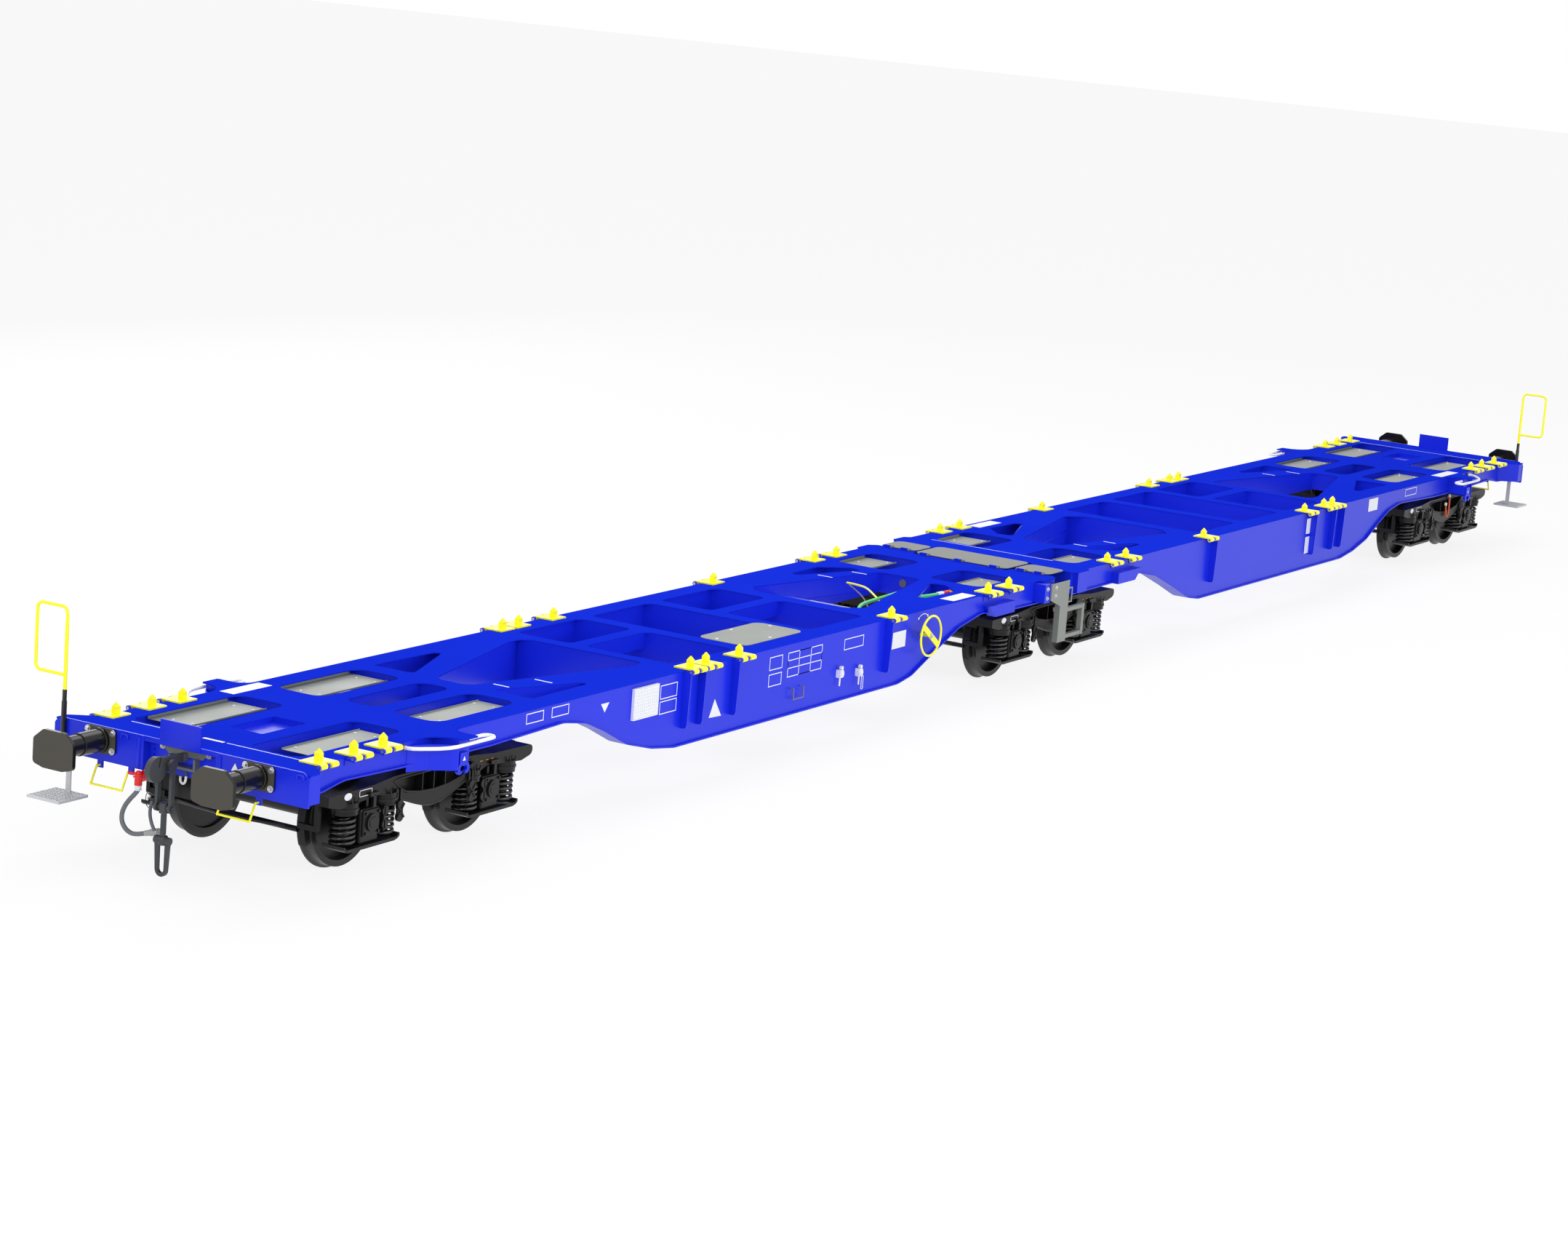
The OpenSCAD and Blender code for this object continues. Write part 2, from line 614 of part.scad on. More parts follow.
module coupling(which) {
    low = hook_pin_z - coupling_drop;
    trunnion_z = hook_pin_z - 390;
    color(grey) on_unit(which) union() {
        translate([hook_x, 76, hook_pin_z]) rotate([90, 0, 0]) cylinder(r = hook_pin_r, h = 152);
        for (s = [-1, 1]) {
            translate([hook_x, s * 76 + 15, hook_pin_z]) rotate([90, 0, 0]) cylinder(r = 46, h = 30);
            block(hook_x - 23, hook_x + 23, s * 76 - 15, s * 76 + 15, trunnion_z, hook_pin_z);
            translate([hook_x, s * 76 + 15, trunnion_z]) rotate([90, 0, 0]) cylinder(r = 42, h = 30);
            translate([hook_x, s * 53 + 27, low + 320]) rotate([90, 0, 0]) cylinder(r = 36, h = 54);
        }
        translate([hook_x, 105, trunnion_z]) rotate([90, 0, 0]) cylinder(r = 24, h = 210);
        translate([hook_x, 0, low + 300]) cylinder(r = 24, h = trunnion_z - low - 300);
        translate([hook_x, 0, trunnion_z - 46]) cylinder(r = 44, h = 90);
        translate([hook_x, 0, low + 282]) cylinder(r = 42, h = 76);
        end_link(low);
    }
}

module end_link(low) {
    outer = concat(arc([0, low + 64], 64, 180, 360, 10), [[78, low + 300], [70, low + 345], [-70, low + 345], [-78, low + 300]]);
    inner = concat(arc([0, low + 68], 34, 180, 360, 10), [[36, low + 288], [-36, low + 288]]);
    translate([hook_x - 16, 0, 0]) rotate([90, 0, 90]) linear_extrude(32) difference() {
        polygon(outer);
        polygon(inner);
    }
}

// ---------------------------------------------------------------- spigots

plate_low = deck_z + seat;
plate_t = 14;
plate_in = 95;

module spigot(x) {
    top = plate_low + plate_t;
    difference() {
        union() {
            block(x - 92, x + 150, spigot_offset - plate_in, lug_y - 24, plate_low, top);
            for (v = [[-92, 94], [64, 86]]) {
                translate([x + v[0], lug_y, pin_z]) rotate([0, 90, 0]) cylinder(r = knuckle_r, h = v[1]);
                block(x + v[0], x + v[0] + v[1], lug_y - 24, lug_y, pin_z, top);
            }
            translate([x, spigot_offset, top]) rotate([0, 0, 45]) cylinder(r = 40, h = spigot_rise * 0.6, $fn = 4);
            translate([x, spigot_offset, top + spigot_rise * 0.6]) rotate([0, 0, 45])
                cylinder(r1 = 40, r2 = 6, h = spigot_rise * 0.4, $fn = 4);
        }
        translate([x - 100, lug_y, pin_z]) rotate([0, 90, 0]) cylinder(d = hinge_pin_diameter + 2 * pin_gap, h = 260);
    }
}

module left_spigots(which) {
    color(yellow) on_unit(which) mirror([0, which == "a" ? 1 : 0, 0]) for (x = spigot_x) spigot(x);
}

module right_spigots(which) {
    color(yellow) on_unit(which) mirror([0, which == "a" ? 0 : 1, 0]) for (x = spigot_x) spigot(x);
}

module hinge_pins(which) {
    color(steel) on_unit(which) for (m = [0, 1]) mirror([0, m, 0]) for (x = spigot_x)
        translate([x - 100, lug_y, pin_z]) rotate([0, 90, 0]) cylinder(d = hinge_pin_diameter, h = 281);
}

// ---------------------------------------------------------------- fittings of one unit

cover_z = deck_z - 51;

// One flat cover with a lip along its ends, hung from the deck along its outer side
module wheel_cover(x0, x1, y0, y1) {
    block(x0, x1, y0, y1, cover_z, cover_z + 4);
    block(x0, x1, y1 - 4, y1, cover_z, deck_under - seat);
    block(x0, x1, y0, y0 + 3, cover_z, cover_z + 16);
}

module wheel_covers(which) {
    color(steel) on_unit(which) for (m = [0, 1]) mirror([0, m, 0]) {
        for (x = [span - axle_x, span + axle_x]) wheel_cover(x - 550, x + 550, 527, 983);
        wheel_cover(830, 1450, 550, 983);
    }
}

handrail_x = head_x + 24 + seat;
handrail_y = 1290;

module end_handrail(which) {
    color(yellow) on_unit(which) {
        low = rail + 1400;
        bent_bar([
            [handrail_x, -handrail_y, low], [handrail_x, -handrail_y, rail + 2142],
            [handrail_x, -handrail_y - 345, rail + 2142], [handrail_x, -handrail_y - 345, rail + 1540],
            [handrail_x, -handrail_y, rail + 1540]
        ], 30, 60);
        rod([handrail_x, -handrail_y, low], [handrail_x, -handrail_y, rail + 2000], 34);
        translate([handrail_x, -handrail_y, rail + 1000]) cylinder(r = 24, h = 310);
        translate([handrail_x, -handrail_y, rail + 1300]) cylinder(r = 20, h = 110);
    }
}

module end_step(which) {
    z = rail + 500;
    color(steel) on_unit(which) {
        difference() {
            block(head_x - 48, head_x + 330, -1410, -1040, z - 24, z);
            for (i = [0 : 8]) block(head_x - 38 + i * 40, head_x - 38 + i * 40 + 33, -1400, -1050, z - 40, z + 10);
        }
        block(head_x + seat, head_x + 12, -1250, -1195, z - 24, head_low + 60);
    }
}

side_rail_y = 1490;

module side_rails(which) {
    z = rail + 1090;
    color(white) on_unit(which) for (m = [0, 1]) mirror([0, m, 0]) hose([
        [span + 575, web_y + seat, z], [span + 575, 1225, z], [span + 560, 1270, z], [span + 520, 1315, z],
        [span + 380, 1425, z], [span + 290, 1470, z], [span + 200, side_rail_y, z], [span - 330, side_rail_y, z],
        [span - 368, 1482, z], [span - 392, 1460, z], [span - 400, 1430, z], [span - 392, 1400, z],
        [span - 368, 1378, z], [span - 330, 1370, z], [span - 112 - seat, 1370, z]
    ], 34, [0, 0, 1], 12);
}

module release_handles(which) {
    color(yellow) on_unit(which) for (s = [-1, 1]) bar_path([
        [head_x - 18, s * release_y[0], head_low - 40],
        [head_x + 40, s * release_y[0], head_low - 40],
        [head_x + 110, s * release_y[0], head_low - 190],
        [head_x + 110, s * release_y[1], head_low - 190],
        [head_x + 40, s * release_y[1], head_low - 40],
        [head_x - 18, s * release_y[1], head_low - 40]
    ], 19.4);
}

cock_y = -390;

module end_cock(which) {
    color(red) on_unit(which) {
        translate([head_x - 60, cock_y, head_low - 70]) rotate([0, 90, 0]) cylinder(r = 28, h = 120);
        translate([head_x + 60, cock_y, head_low - 120]) cylinder(r = 34, h = 100);
        block(head_x + 40, head_x + 64, cock_y - 120, cock_y, head_low - 40, head_low - 20);
        block(head_x - 16, head_x + 10, cock_y - 12, cock_y + 12, head_low - 60, head_low - seat);
    }
}

// Brake hose: straight out of the cock, round under its own weight to its head
hose_d = 42;
hose_points = [
    [60, 0, -120], [60, 0, -160], [64, -30, -205], [70, -80, -262], [76, -126, -330], [83, -148, -405],
    [89, -135, -472], [94, -88, -522], [98, -24, -545], [101, 38, -541], [103, 95, -527], [103, 143, -513]
];
hose_end = hose_points[11];
hose_way = hose_end - hose_points[10];

module brake_hose(which) {
    color(grey) on_unit(which) translate([head_x, cock_y, head_low]) hose(hose_points, hose_d, [1, 0, 0]);
}

module hose_head(which) {
    color(steel) on_unit(which) translate([head_x + hose_end[0], cock_y + hose_end[1], head_low + hose_end[2]])
        rotate([-atan2(hose_way[1], hose_way[2]), 0, 0]) union() {
            cylinder(r = 26, h = 60);
            translate([0, 0, 60]) cylinder(r = 32, h = 90);
        }
}

// ---------------------------------------------------------------- fittings of unit a

module handbrake_wheels() {
    color(yellow) on_unit("a") for (m = [0, 1]) mirror([0, m, 0]) translate([3270, web_y + seat, rail + 870]) {
        rotate([-90, 0, 0]) cylinder(r = 18, h = 142);
        translate([0, 128, 0]) rotate([90, 0, 0]) rotate_extrude() translate([218, 0]) circle(r = 12);
        rotate([0, -35, 0]) block(-210, 210, 122, 132, -32, 32);
    }
}

ladder_y = 1330;

module ladder() {
    color(steel) on_unit("a") {
        // bent post bolted to its bracket
        upright([
            [549.7, rail + 1110], [110, rail + 1110], [110, rail + 400], [310, rail + 400], [310, rail + 830], [549.7, rail + 920]
        ], ladder_y, 8);
        block(302, 310, ladder_y - 60, ladder_y + 4, rail + 400, rail + 840);
        block(540, 549.7, ladder_y - 90, ladder_y + 4, rail + 920, rail + 1110);
        // rungs and the outer stile
        for (z = [430, 740]) block(-310, 114, ladder_y - 46, ladder_y + 6, rail + z, rail + z + 44);
        block(-320, -262, ladder_y - 50, ladder_y + 8, rail + 426, rail + 788);
        // hand loop
        bar_path([
            [114, ladder_y - 8, rail + 1010], [10, ladder_y - 8, rail + 1010], [10, ladder_y - 8, rail + 850],
            [114, ladder_y - 8, rail + 850]
        ], 18);
    }
}

foot_z = deck_z + gap;

module footplates() {
    color(steel) on_unit("a") {
        for (r = [[-inner_end, inner_end + 20, -1110, -650], [-inner_end - 80, inner_end + 110, -610, 610],
            [-inner_end, inner_end + 20, 650, 1110]])
            translate([0, 0, foot_z]) linear_extrude(6) polygon(rounded([
                [r[0], r[2]], [r[1], r[2]], [r[1], r[3]], [r[0], r[3]]
            ], 90));
        for (p = foot_hinges) {
            translate([p[0], p[1] - 62, deck_z + 18]) rotate([-90, 0, 0]) cylinder(r = 8, h = 124);
            for (s = [-1, 1]) block(p[0] - 50, p[0] + 10, p[1] + s * 54 - 8, p[1] + s * 54 + 8, foot_z, deck_z + 28);
        }
    }
}

module access_plate() {
    color(steel) on_unit("a") translate([0, 0, deck_z + seat]) linear_extrude(5) polygon(rounded([
        [5390, 375], [6560, 375], [6560, 960], [5390, 960]
    ], 110));
}

module side_fittings() {
    y = web_y + seat;
    color(white) on_unit("a") {
        // open document holder
        difference() {
            block(8490, 8920, y, y + 30, rail + 770, rail + 1080);
            block(8502, 8908, y + 6, y + 24, rail + 782, rail + 1090);
        }
        // small valves with their pipes
        for (v = [[5005, 640], [4605, 600]]) {
            block(v[0] - 34, v[0] + 34, y, y + 50, rail + v[1], rail + v[1] + 82);
            translate([v[0], y + 30, rail + v[1] - 90]) cylinder(r = 9, h = 100);
        }
        // pull ring of the release valve
        bar_path([[5750, y, rail + 655], [5750, y + 40, rail + 655], [5750, y + 40, rail + 545],
            [5950, y + 40, rail + 545], [5950, y + 40, rail + 655], [5950, y, rail + 655]], 12);
    }
}

// ---------------------------------------------------------------- bogies

frame_in = 920;
frame_out = 1120;
axle_x = bogie_wheelbase / 2;
spring_x = 275;
spring_r = 122;
spring_low = rail + 300;
spring_top = rail + 570;

function side_frame() = bent([
    [-1520, rail + 690], [-1350, rail + 650], [-800, rail + 690], [-530, rail + 610], [-270, rail + 520], [0, rail + 460],
    [270, rail + 520], [530, rail + 610], [800, rail + 690], [1350, rail + 650], [1520, rail + 690],
    [1520, rail + 780], [900, rail + 790], [600, rail + 820], [-600, rail + 820], [-900, rail + 790], [-1520, rail + 780]
], 60);

module bogie_frame(cx) {
    window = rounded([
        [-600, rail + 770], [-420, rail + 640], [0, rail + 600], [420, rail + 640], [600, rail + 770], [480, rail + 790],
        [-480, rail + 790]
    ], 30);
    color(black) translate([cx, 0, 0]) union() {
        for (m = [0, 1]) mirror([0, m, 0]) {
            difference() {
                upright(side_frame(), frame_in, frame_out - frame_in);
                upright(window, frame_out - 90, 110);
            }
            for (x = [-170, 0, 170]) block(x - 6, x + 6, frame_in + 20, frame_out, rail + 560, rail + 805);
            for (s = [-1, 1]) for (t = [-1, 1]) translate([s * axle_x + t * spring_x, 1020, spring_top])
                cylinder(r = spring_r + 8, h = 110);
        }
        block(-170, 170, -frame_in, frame_in, rail + 560, rail + 830);
        for (s = [-1, 1]) block(s * 1500 - 20, s * 1500 + 20, -frame_in, frame_in, rail + 660, rail + 775);
        translate([0, 0, rail + 820]) cylinder(r = 230, h = 40);
        difference() {
            translate([0, 0, rail + 860]) cylinder(r = 230, h = 26);
            translate([0, 0, rail + 872 - seat]) cylinder(r = 195, h = 40);
        }
        for (s = [-1, 1]) block(-120, 120, s * 800 - 60, s * 800 + 60, rail + 820, rail + 892);
        for (s = [-1, 1]) for (t = [-1, 1]) for (m = [-1, 1])
            brake_shoe(s * axle_x, t, m);
    }
}

module brake_shoe(x, t, m) {
    y = m * 760;
    translate([x, y - 42, axle_z]) rotate([-90, 0, 0]) linear_extrude(84) polygon(concat(
        [for (a = [-22 : 4 : 22]) t * (wheel_diameter / 2 + 8) * [cos(a), -sin(a) * t]],
        [for (a = [22 : -4 : -22]) t * (wheel_diameter / 2 + 70) * [cos(a), -sin(a) * t]]
    ));
    block(x + t * 530 - 25, x + t * 530 + 25, y - 15, y + (m > 0 ? frame_in - 740 : 15) - (m > 0 ? 15 : 0), axle_z - 30, axle_z + 20);
    if (m < 0) block(x + t * 530 - 25, x + t * 530 + 25, -frame_in - 5, y, axle_z - 30, axle_z + 20);
    block(x + t * 530 - 25, x + t * 530 + 25, m > 0 ? frame_in : -frame_in - 40, m > 0 ? frame_in + 40 : -frame_in,
        axle_z - 30, rail + 700);
}

module axleboxes(cx) {
    color(black) translate([cx, 0, 0]) for (s = [-1, 1]) for (m = [0, 1]) mirror([0, m, 0]) {
        translate([s * axle_x, 0, 0]) {
            difference() {
                union() {
                    block(-138, 138, 940, 1130, rail + 260, axle_z + 130);
                    upright([
                        [-400, rail + 280], [-330, rail + 240], [330, rail + 240], [400, rail + 280], [400, spring_low],
                        [-400, spring_low]
                    ], 895, 250);
                    translate([0, 1130, axle_z]) rotate([-90, 0, 0]) cylinder(r = 120, h = 25);
                }
                translate([0, 800, axle_z]) rotate([-90, 0, 0]) cylinder(r = journal_diameter / 2 + pin_gap, h = 320);
            }
            for (t = [-1, 1]) translate([t * spring_x, 1020, spring_low - 2])
                cylinder(r = spring_r, h = spring_top - spring_low + 2 - seat);
        }
    }
}

module wheelset(x) {
    r = wheel_diameter / 2;
    inner = back_to_back / 2;
    outer = inner + wheel_width;
    half = [
        [axle_diameter / 2, 0], [axle_diameter / 2, inner - 30], [120, inner - 10], [120, inner + 20],
        [r - 70, inner + 25], [r - 60, inner], [r + flange_depth, inner + 6], [r + flange_depth, inner + 20],
        [r + 6, inner + 32], [r, inner + 45], [r - 3, outer], [r - 60, outer], [r - 70, inner + 55],
        [130, inner + 60], [120, outer + 10], [axle_diameter / 2, outer + 10],
        [journal_diameter / 2, outer + 60], [journal_diameter / 2, 1090], [0, 1090]
    ];
    color(black) translate([x, 0, axle_z]) rotate([90, 0, 0]) rotate_extrude($fn = 96)
        polygon(concat(half, flip([for (p = half) if (p[1] > 0) [p[0], -p[1]]])));
}

deck("a");  // unit_a_deck
left_sill("a");  // unit_a_left_sill
right_sill("a");  // unit_a_right_sill
beams("a");  // unit_a_beams
headstock("a");  // unit_a_headstock
buffers("a");  // unit_a_buffers
draw_hook("a");  // unit_a_draw_hook
coupling("a");  // unit_a_coupling
left_spigots("a");  // unit_a_left_spigots
right_spigots("a");  // unit_a_right_spigots
hinge_pins("a");  // unit_a_hinge_pins
wheel_covers("a");  // unit_a_wheel_covers
end_handrail("a");  // unit_a_end_handrail
end_step("a");  // unit_a_end_step
side_rails("a");  // unit_a_side_rails
release_handles("a");  // unit_a_release_handles
end_cock("a");  // unit_a_end_cock
brake_hose("a");  // unit_a_brake_hose
hose_head("a");  // unit_a_hose_head
handbrake_wheels();
ladder();
footplates();
access_plate();
side_fittings();
deck("b");  // unit_b_deck
left_sill("b");  // unit_b_left_sill
right_sill("b");  // unit_b_right_sill
beams("b");  // unit_b_beams
headstock("b");  // unit_b_headstock
buffers("b");  // unit_b_buffers
draw_hook("b");  // unit_b_draw_hook
coupling("b");  // unit_b_coupling
left_spigots("b");  // unit_b_left_spigots
right_spigots("b");  // unit_b_right_spigots
hinge_pins("b");  // unit_b_hinge_pins
wheel_covers("b");  // unit_b_wheel_covers
end_handrail("b");  // unit_b_end_handrail
end_step("b");  // unit_b_end_step
side_rails("b");  // unit_b_side_rails
release_handles("b");  // unit_b_release_handles
end_cock("b");  // unit_b_end_cock
brake_hose("b");  // unit_b_brake_hose
hose_head("b");  // unit_b_hose_head
bogie_frame(-span);  // bogie_a_frame
axleboxes(-span);  // bogie_a_axleboxes
wheelset(-span - axle_x);  // bogie_a_outer_wheelset
wheelset(-span + axle_x);  // bogie_a_inner_wheelset
bogie_frame(0);  // bogie_mid_frame
axleboxes(0);  // bogie_mid_axleboxes
wheelset(-axle_x);  // bogie_mid_a_wheelset
wheelset(axle_x);  // bogie_mid_b_wheelset
bogie_frame(span);  // bogie_b_frame
axleboxes(span);  // bogie_b_axleboxes
wheelset(span + axle_x);  // bogie_b_outer_wheelset
wheelset(span - axle_x);  // bogie_b_inner_wheelset
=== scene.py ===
import math

import bmesh
import bpy
from mathutils import Matrix, Vector


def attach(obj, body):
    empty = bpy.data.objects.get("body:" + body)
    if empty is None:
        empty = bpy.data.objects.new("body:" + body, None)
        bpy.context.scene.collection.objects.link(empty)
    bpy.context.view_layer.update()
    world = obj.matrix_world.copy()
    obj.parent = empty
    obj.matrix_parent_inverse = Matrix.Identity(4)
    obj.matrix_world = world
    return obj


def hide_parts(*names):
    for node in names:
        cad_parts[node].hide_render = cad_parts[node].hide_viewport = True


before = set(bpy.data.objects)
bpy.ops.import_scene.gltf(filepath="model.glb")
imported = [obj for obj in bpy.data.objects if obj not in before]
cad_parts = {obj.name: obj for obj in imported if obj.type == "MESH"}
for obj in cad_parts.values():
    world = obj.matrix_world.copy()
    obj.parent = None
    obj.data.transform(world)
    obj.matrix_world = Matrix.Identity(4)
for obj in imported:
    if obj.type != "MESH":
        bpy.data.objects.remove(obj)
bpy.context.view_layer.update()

# ------------------------------------------------------------------ camera
# The wagon is seen from beyond its near left end, a little above the deck and far enough away
# that both units fit; the picture leans slightly, so the camera is rolled with it.

azimuth, elevation, roll = math.radians(-59.4096), math.radians(11.2261), math.radians(4.3682)
ahead = -Vector((math.sin(azimuth) * math.cos(elevation), -math.cos(azimuth) * math.cos(elevation),
                 math.sin(elevation)))
level = Vector((math.cos(azimuth), math.sin(azimuth), 0))
upward = level.cross(ahead)
lens_right = math.cos(roll) * level + math.sin(roll) * upward
lens_up = -math.sin(roll) * level + math.cos(roll) * upward
camera_data = bpy.data.cameras.new("camera")
camera_data.sensor_width = 36
camera_data.lens = 88.742
camera_data.clip_end = 300
camera = bpy.data.objects.new("camera", camera_data)
bpy.context.scene.collection.objects.link(camera)
rail_top = 0.028
turned = Matrix((lens_right, lens_up, -ahead)).transposed().to_4x4()
camera.matrix_world = Matrix.Translation((-39.2894, -20.7477, 8.9571 + rail_top)) @ turned
bpy.context.scene.camera = camera
bpy.context.scene.view_settings.view_transform = "Standard"

# ------------------------------------------------------------------ floor and light
# A plain pale floor under the wheels, an even white room and four large soft lamps. What looks out at the
# room, and what mirrors it, sees plain white; the floor still takes the wagon's shadow.


def set_inputs(node, values):
    for socket, value in values.items():
        node.inputs[socket].default_value = value


def wire(tree, *runs):
    for source, output, target, entry in runs:
        tree.links.new(source.outputs[output], target.inputs[entry])


def seen_or_mirrored(tree):
    rays = tree.nodes.new("ShaderNodeLightPath")
    mirrored, either = tree.nodes.new("ShaderNodeMath"), tree.nodes.new("ShaderNodeMath")
    mirrored.operation = either.operation = "MAXIMUM"
    wire(tree, (rays, "Is Glossy Ray", mirrored, 0), (rays, "Is Transmission Ray", mirrored, 1),
         (mirrored, 0, either, 0), (rays, "Is Camera Ray", either, 1))
    return either.outputs[0]


def show_white(tree, share, plain, white, output):
    mix = tree.nodes.new("ShaderNodeMixShader")
    tree.links.new(share, mix.inputs[0])
    wire(tree, (plain, 0, mix, 1), (white, 0, mix, 2), (mix, 0, tree.nodes[output], "Surface"))


def link(obj):
    bpy.context.scene.collection.objects.link(obj)
    return obj


def surface(name, rough, metal=0.0, coat=0.0, shine=0.5):
    material = bpy.data.materials.new(name)
    material.use_nodes = True
    shader = material.node_tree.nodes["Principled BSDF"]
    set_inputs(shader, {"Roughness": rough, "Metallic": metal, "Coat Weight": coat, "Coat Roughness": 0.12,
                        "Specular IOR Level": shine})
    return material, material.node_tree, shader


pure_white = (1, 1, 1, 1)
floor_mesh = bmesh.new()
bmesh.ops.create_grid(floor_mesh, x_segments=2, y_segments=2, size=120)
floor_data = bpy.data.meshes.new("studio_floor")
floor_mesh.to_mesh(floor_data)
floor_mesh.free()
floor = link(bpy.data.objects.new("studio_floor", floor_data))
floor_paint, floor_tree, floor_shader = surface("studio_floor_white", 0.9)
floor_shader.inputs["Base Color"].default_value = (0.86, 0.86, 0.88, 1)
floor_glow = floor_tree.nodes.new("ShaderNodeEmission")
floor_glow.inputs["Color"].default_value = pure_white
floor_share = floor_tree.nodes.new("ShaderNodeMath")
floor_share.operation = "MULTIPLY"
floor_share.inputs[1].default_value = 0.86
floor_tree.links.new(seen_or_mirrored(floor_tree), floor_share.inputs[0])
show_white(floor_tree, floor_share.outputs[0], floor_shader, floor_glow, "Material Output")
floor_data.materials.append(floor_paint)

room = bpy.data.worlds.new("white_room")
bpy.context.scene.world = room
room.use_nodes = True
room_tree = room.node_tree
room_light = room_tree.nodes["Background"]
set_inputs(room_light, {"Color": pure_white, "Strength": 0.62})
room_seen = room_tree.nodes.new("ShaderNodeBackground")
set_inputs(room_seen, {"Color": pure_white, "Strength": 1.0})
show_white(room_tree, seen_or_mirrored(room_tree), room_light, room_seen, "World Output")


def soft_lamp(name, place, target, size, power):
    data = bpy.data.lights.new(name, "AREA")
    data.shape = "RECTANGLE"
    data.size = size[0]
    data.size_y = size[1]
    data.energy = power
    lamp = link(bpy.data.objects.new(name, data))
    lamp.location = place
    lamp.rotation_euler = (Vector(target) - Vector(place)).to_track_quat("-Z", "Y").to_euler()


soft_lamp("near_side_lamp", (-6, -24, 9), (0, 0, 0.9), (30, 8), 3100)
soft_lamp("near_end_lamp", (-34, -6, 8), (-12, 0, 0.8), (10, 8), 1650)
soft_lamp("roof_lamp", (0, 4, 18), (0, 0, 1), (34, 10), 2300)
soft_lamp("far_side_lamp", (6, 24, 9), (0, 0, 0.9), (30, 8), 1300)

# ------------------------------------------------------------------ brake hoses
# Rubber hoses that hang from the end cocks and curve outwards to their coupling heads, on the route that
# the solid model has, smoothed between its points.

hose_route = [
    (60, 0, -120), (60, 0, -160), (64, -30, -205), (70, -80, -262), (76, -126, -330), (83, -148, -405),
    (89, -135, -472), (94, -88, -522), (98, -24, -545), (101, 38, -541), (103, 95, -527), (103, 143, -513),
]
hose_thickness = 0.042
hose_start = (14.175, -0.390, 0.878)
halves = {"a": -1, "b": 1}
side_name = {-1: "near", 1: "far"}
pivot_reach = 11.995
half_wheelbase = 0.9
axle_pair = (-half_wheelbase, half_wheelbase)


def smooth_route(points, steps=4):
    line = []
    for i in range(len(points) - 1):
        p0 = points[max(i - 1, 0)]
        p1, p2 = points[i], points[i + 1]
        p3 = points[min(i + 2, len(points) - 1)]
        for k in range(steps):
            t = k / steps
            line.append(0.5 * ((2 * p1) + (p2 - p0) * t + (2 * p0 - 5 * p1 + 4 * p2 - p3) * t * t
                               + (3 * p1 - p0 - 3 * p2 + p3) * t * t * t))
    return line + [points[-1]]


def swept_bar(name, points, thickness, material, closed=False):
    curve = bpy.data.curves.new(name, "CURVE")
    curve.dimensions = "3D"
    curve.bevel_depth = thickness / 2
    curve.bevel_resolution = 3
    curve.use_fill_caps = not closed
    spline = curve.splines.new("POLY")
    spline.points.add(len(points) - 1)
    for spot, p in zip(spline.points, points):
        spot.co = (*p, 1)
    spline.use_cyclic_u = closed
    spline.use_smooth = True
    curve.materials.append(material)
    return link(bpy.data.objects.new(name, curve))


def fasten(piece, body, slot_name):
    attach(piece, body)


# mottling of a finish that many pieces share: two tints, a roughness swing and a fine relief
def mottled_finish_group():
    group = bpy.data.node_groups.new("mottled_finish", "ShaderNodeTree")
    for name, kind, value in (
        ("Tint", "NodeSocketColor", (0.5, 0.5, 0.5, 1)), ("Second Tint", "NodeSocketColor", (0.4, 0.4, 0.4, 1)),
        ("Patch Size", "NodeSocketFloat", 3.0), ("Grain Size", "NodeSocketFloat", 90.0),
        ("Rough Low", "NodeSocketFloat", 0.3), ("Rough High", "NodeSocketFloat", 0.5),
    ):
        socket = group.interface.new_socket(name=name, in_out="INPUT", socket_type=kind)
        socket.default_value = value
    for name, kind in (("Color", "NodeSocketColor"), ("Roughness", "NodeSocketFloat"), ("Relief", "NodeSocketFloat")):
        group.interface.new_socket(name=name, in_out="OUTPUT", socket_type=kind)
    tree = group.nodes
    given, put = tree.new("NodeGroupInput"), tree.new("NodeGroupOutput")
    place = tree.new("ShaderNodeTexCoord")
    patches, grain = tree.new("ShaderNodeTexNoise"), tree.new("ShaderNodeTexNoise")
    patches.inputs["Detail"].default_value = 5
    grain.inputs["Detail"].default_value = 3
    blend = tree.new("ShaderNodeMix")
    blend.data_type = "RGBA"
    span_rough = tree.new("ShaderNodeMapRange")
    wire(group, (place, "Object", patches, "Vector"), (place, "Object", grain, "Vector"),
         (given, "Patch Size", patches, "Scale"), (given, "Grain Size", grain, "Scale"),
         (patches, "Fac", blend, "Factor"), (given, "Tint", blend, "A"), (given, "Second Tint", blend, "B"),
         (patches, "Fac", span_rough, "Value"), (given, "Rough Low", span_rough, "To Min"),
         (given, "Rough High", span_rough, "To Max"), (blend, "Result", put, "Color"),
         (span_rough, "Result", put, "Roughness"), (grain, "Fac", put, "Relief"))
    return group


mottled = mottled_finish_group()


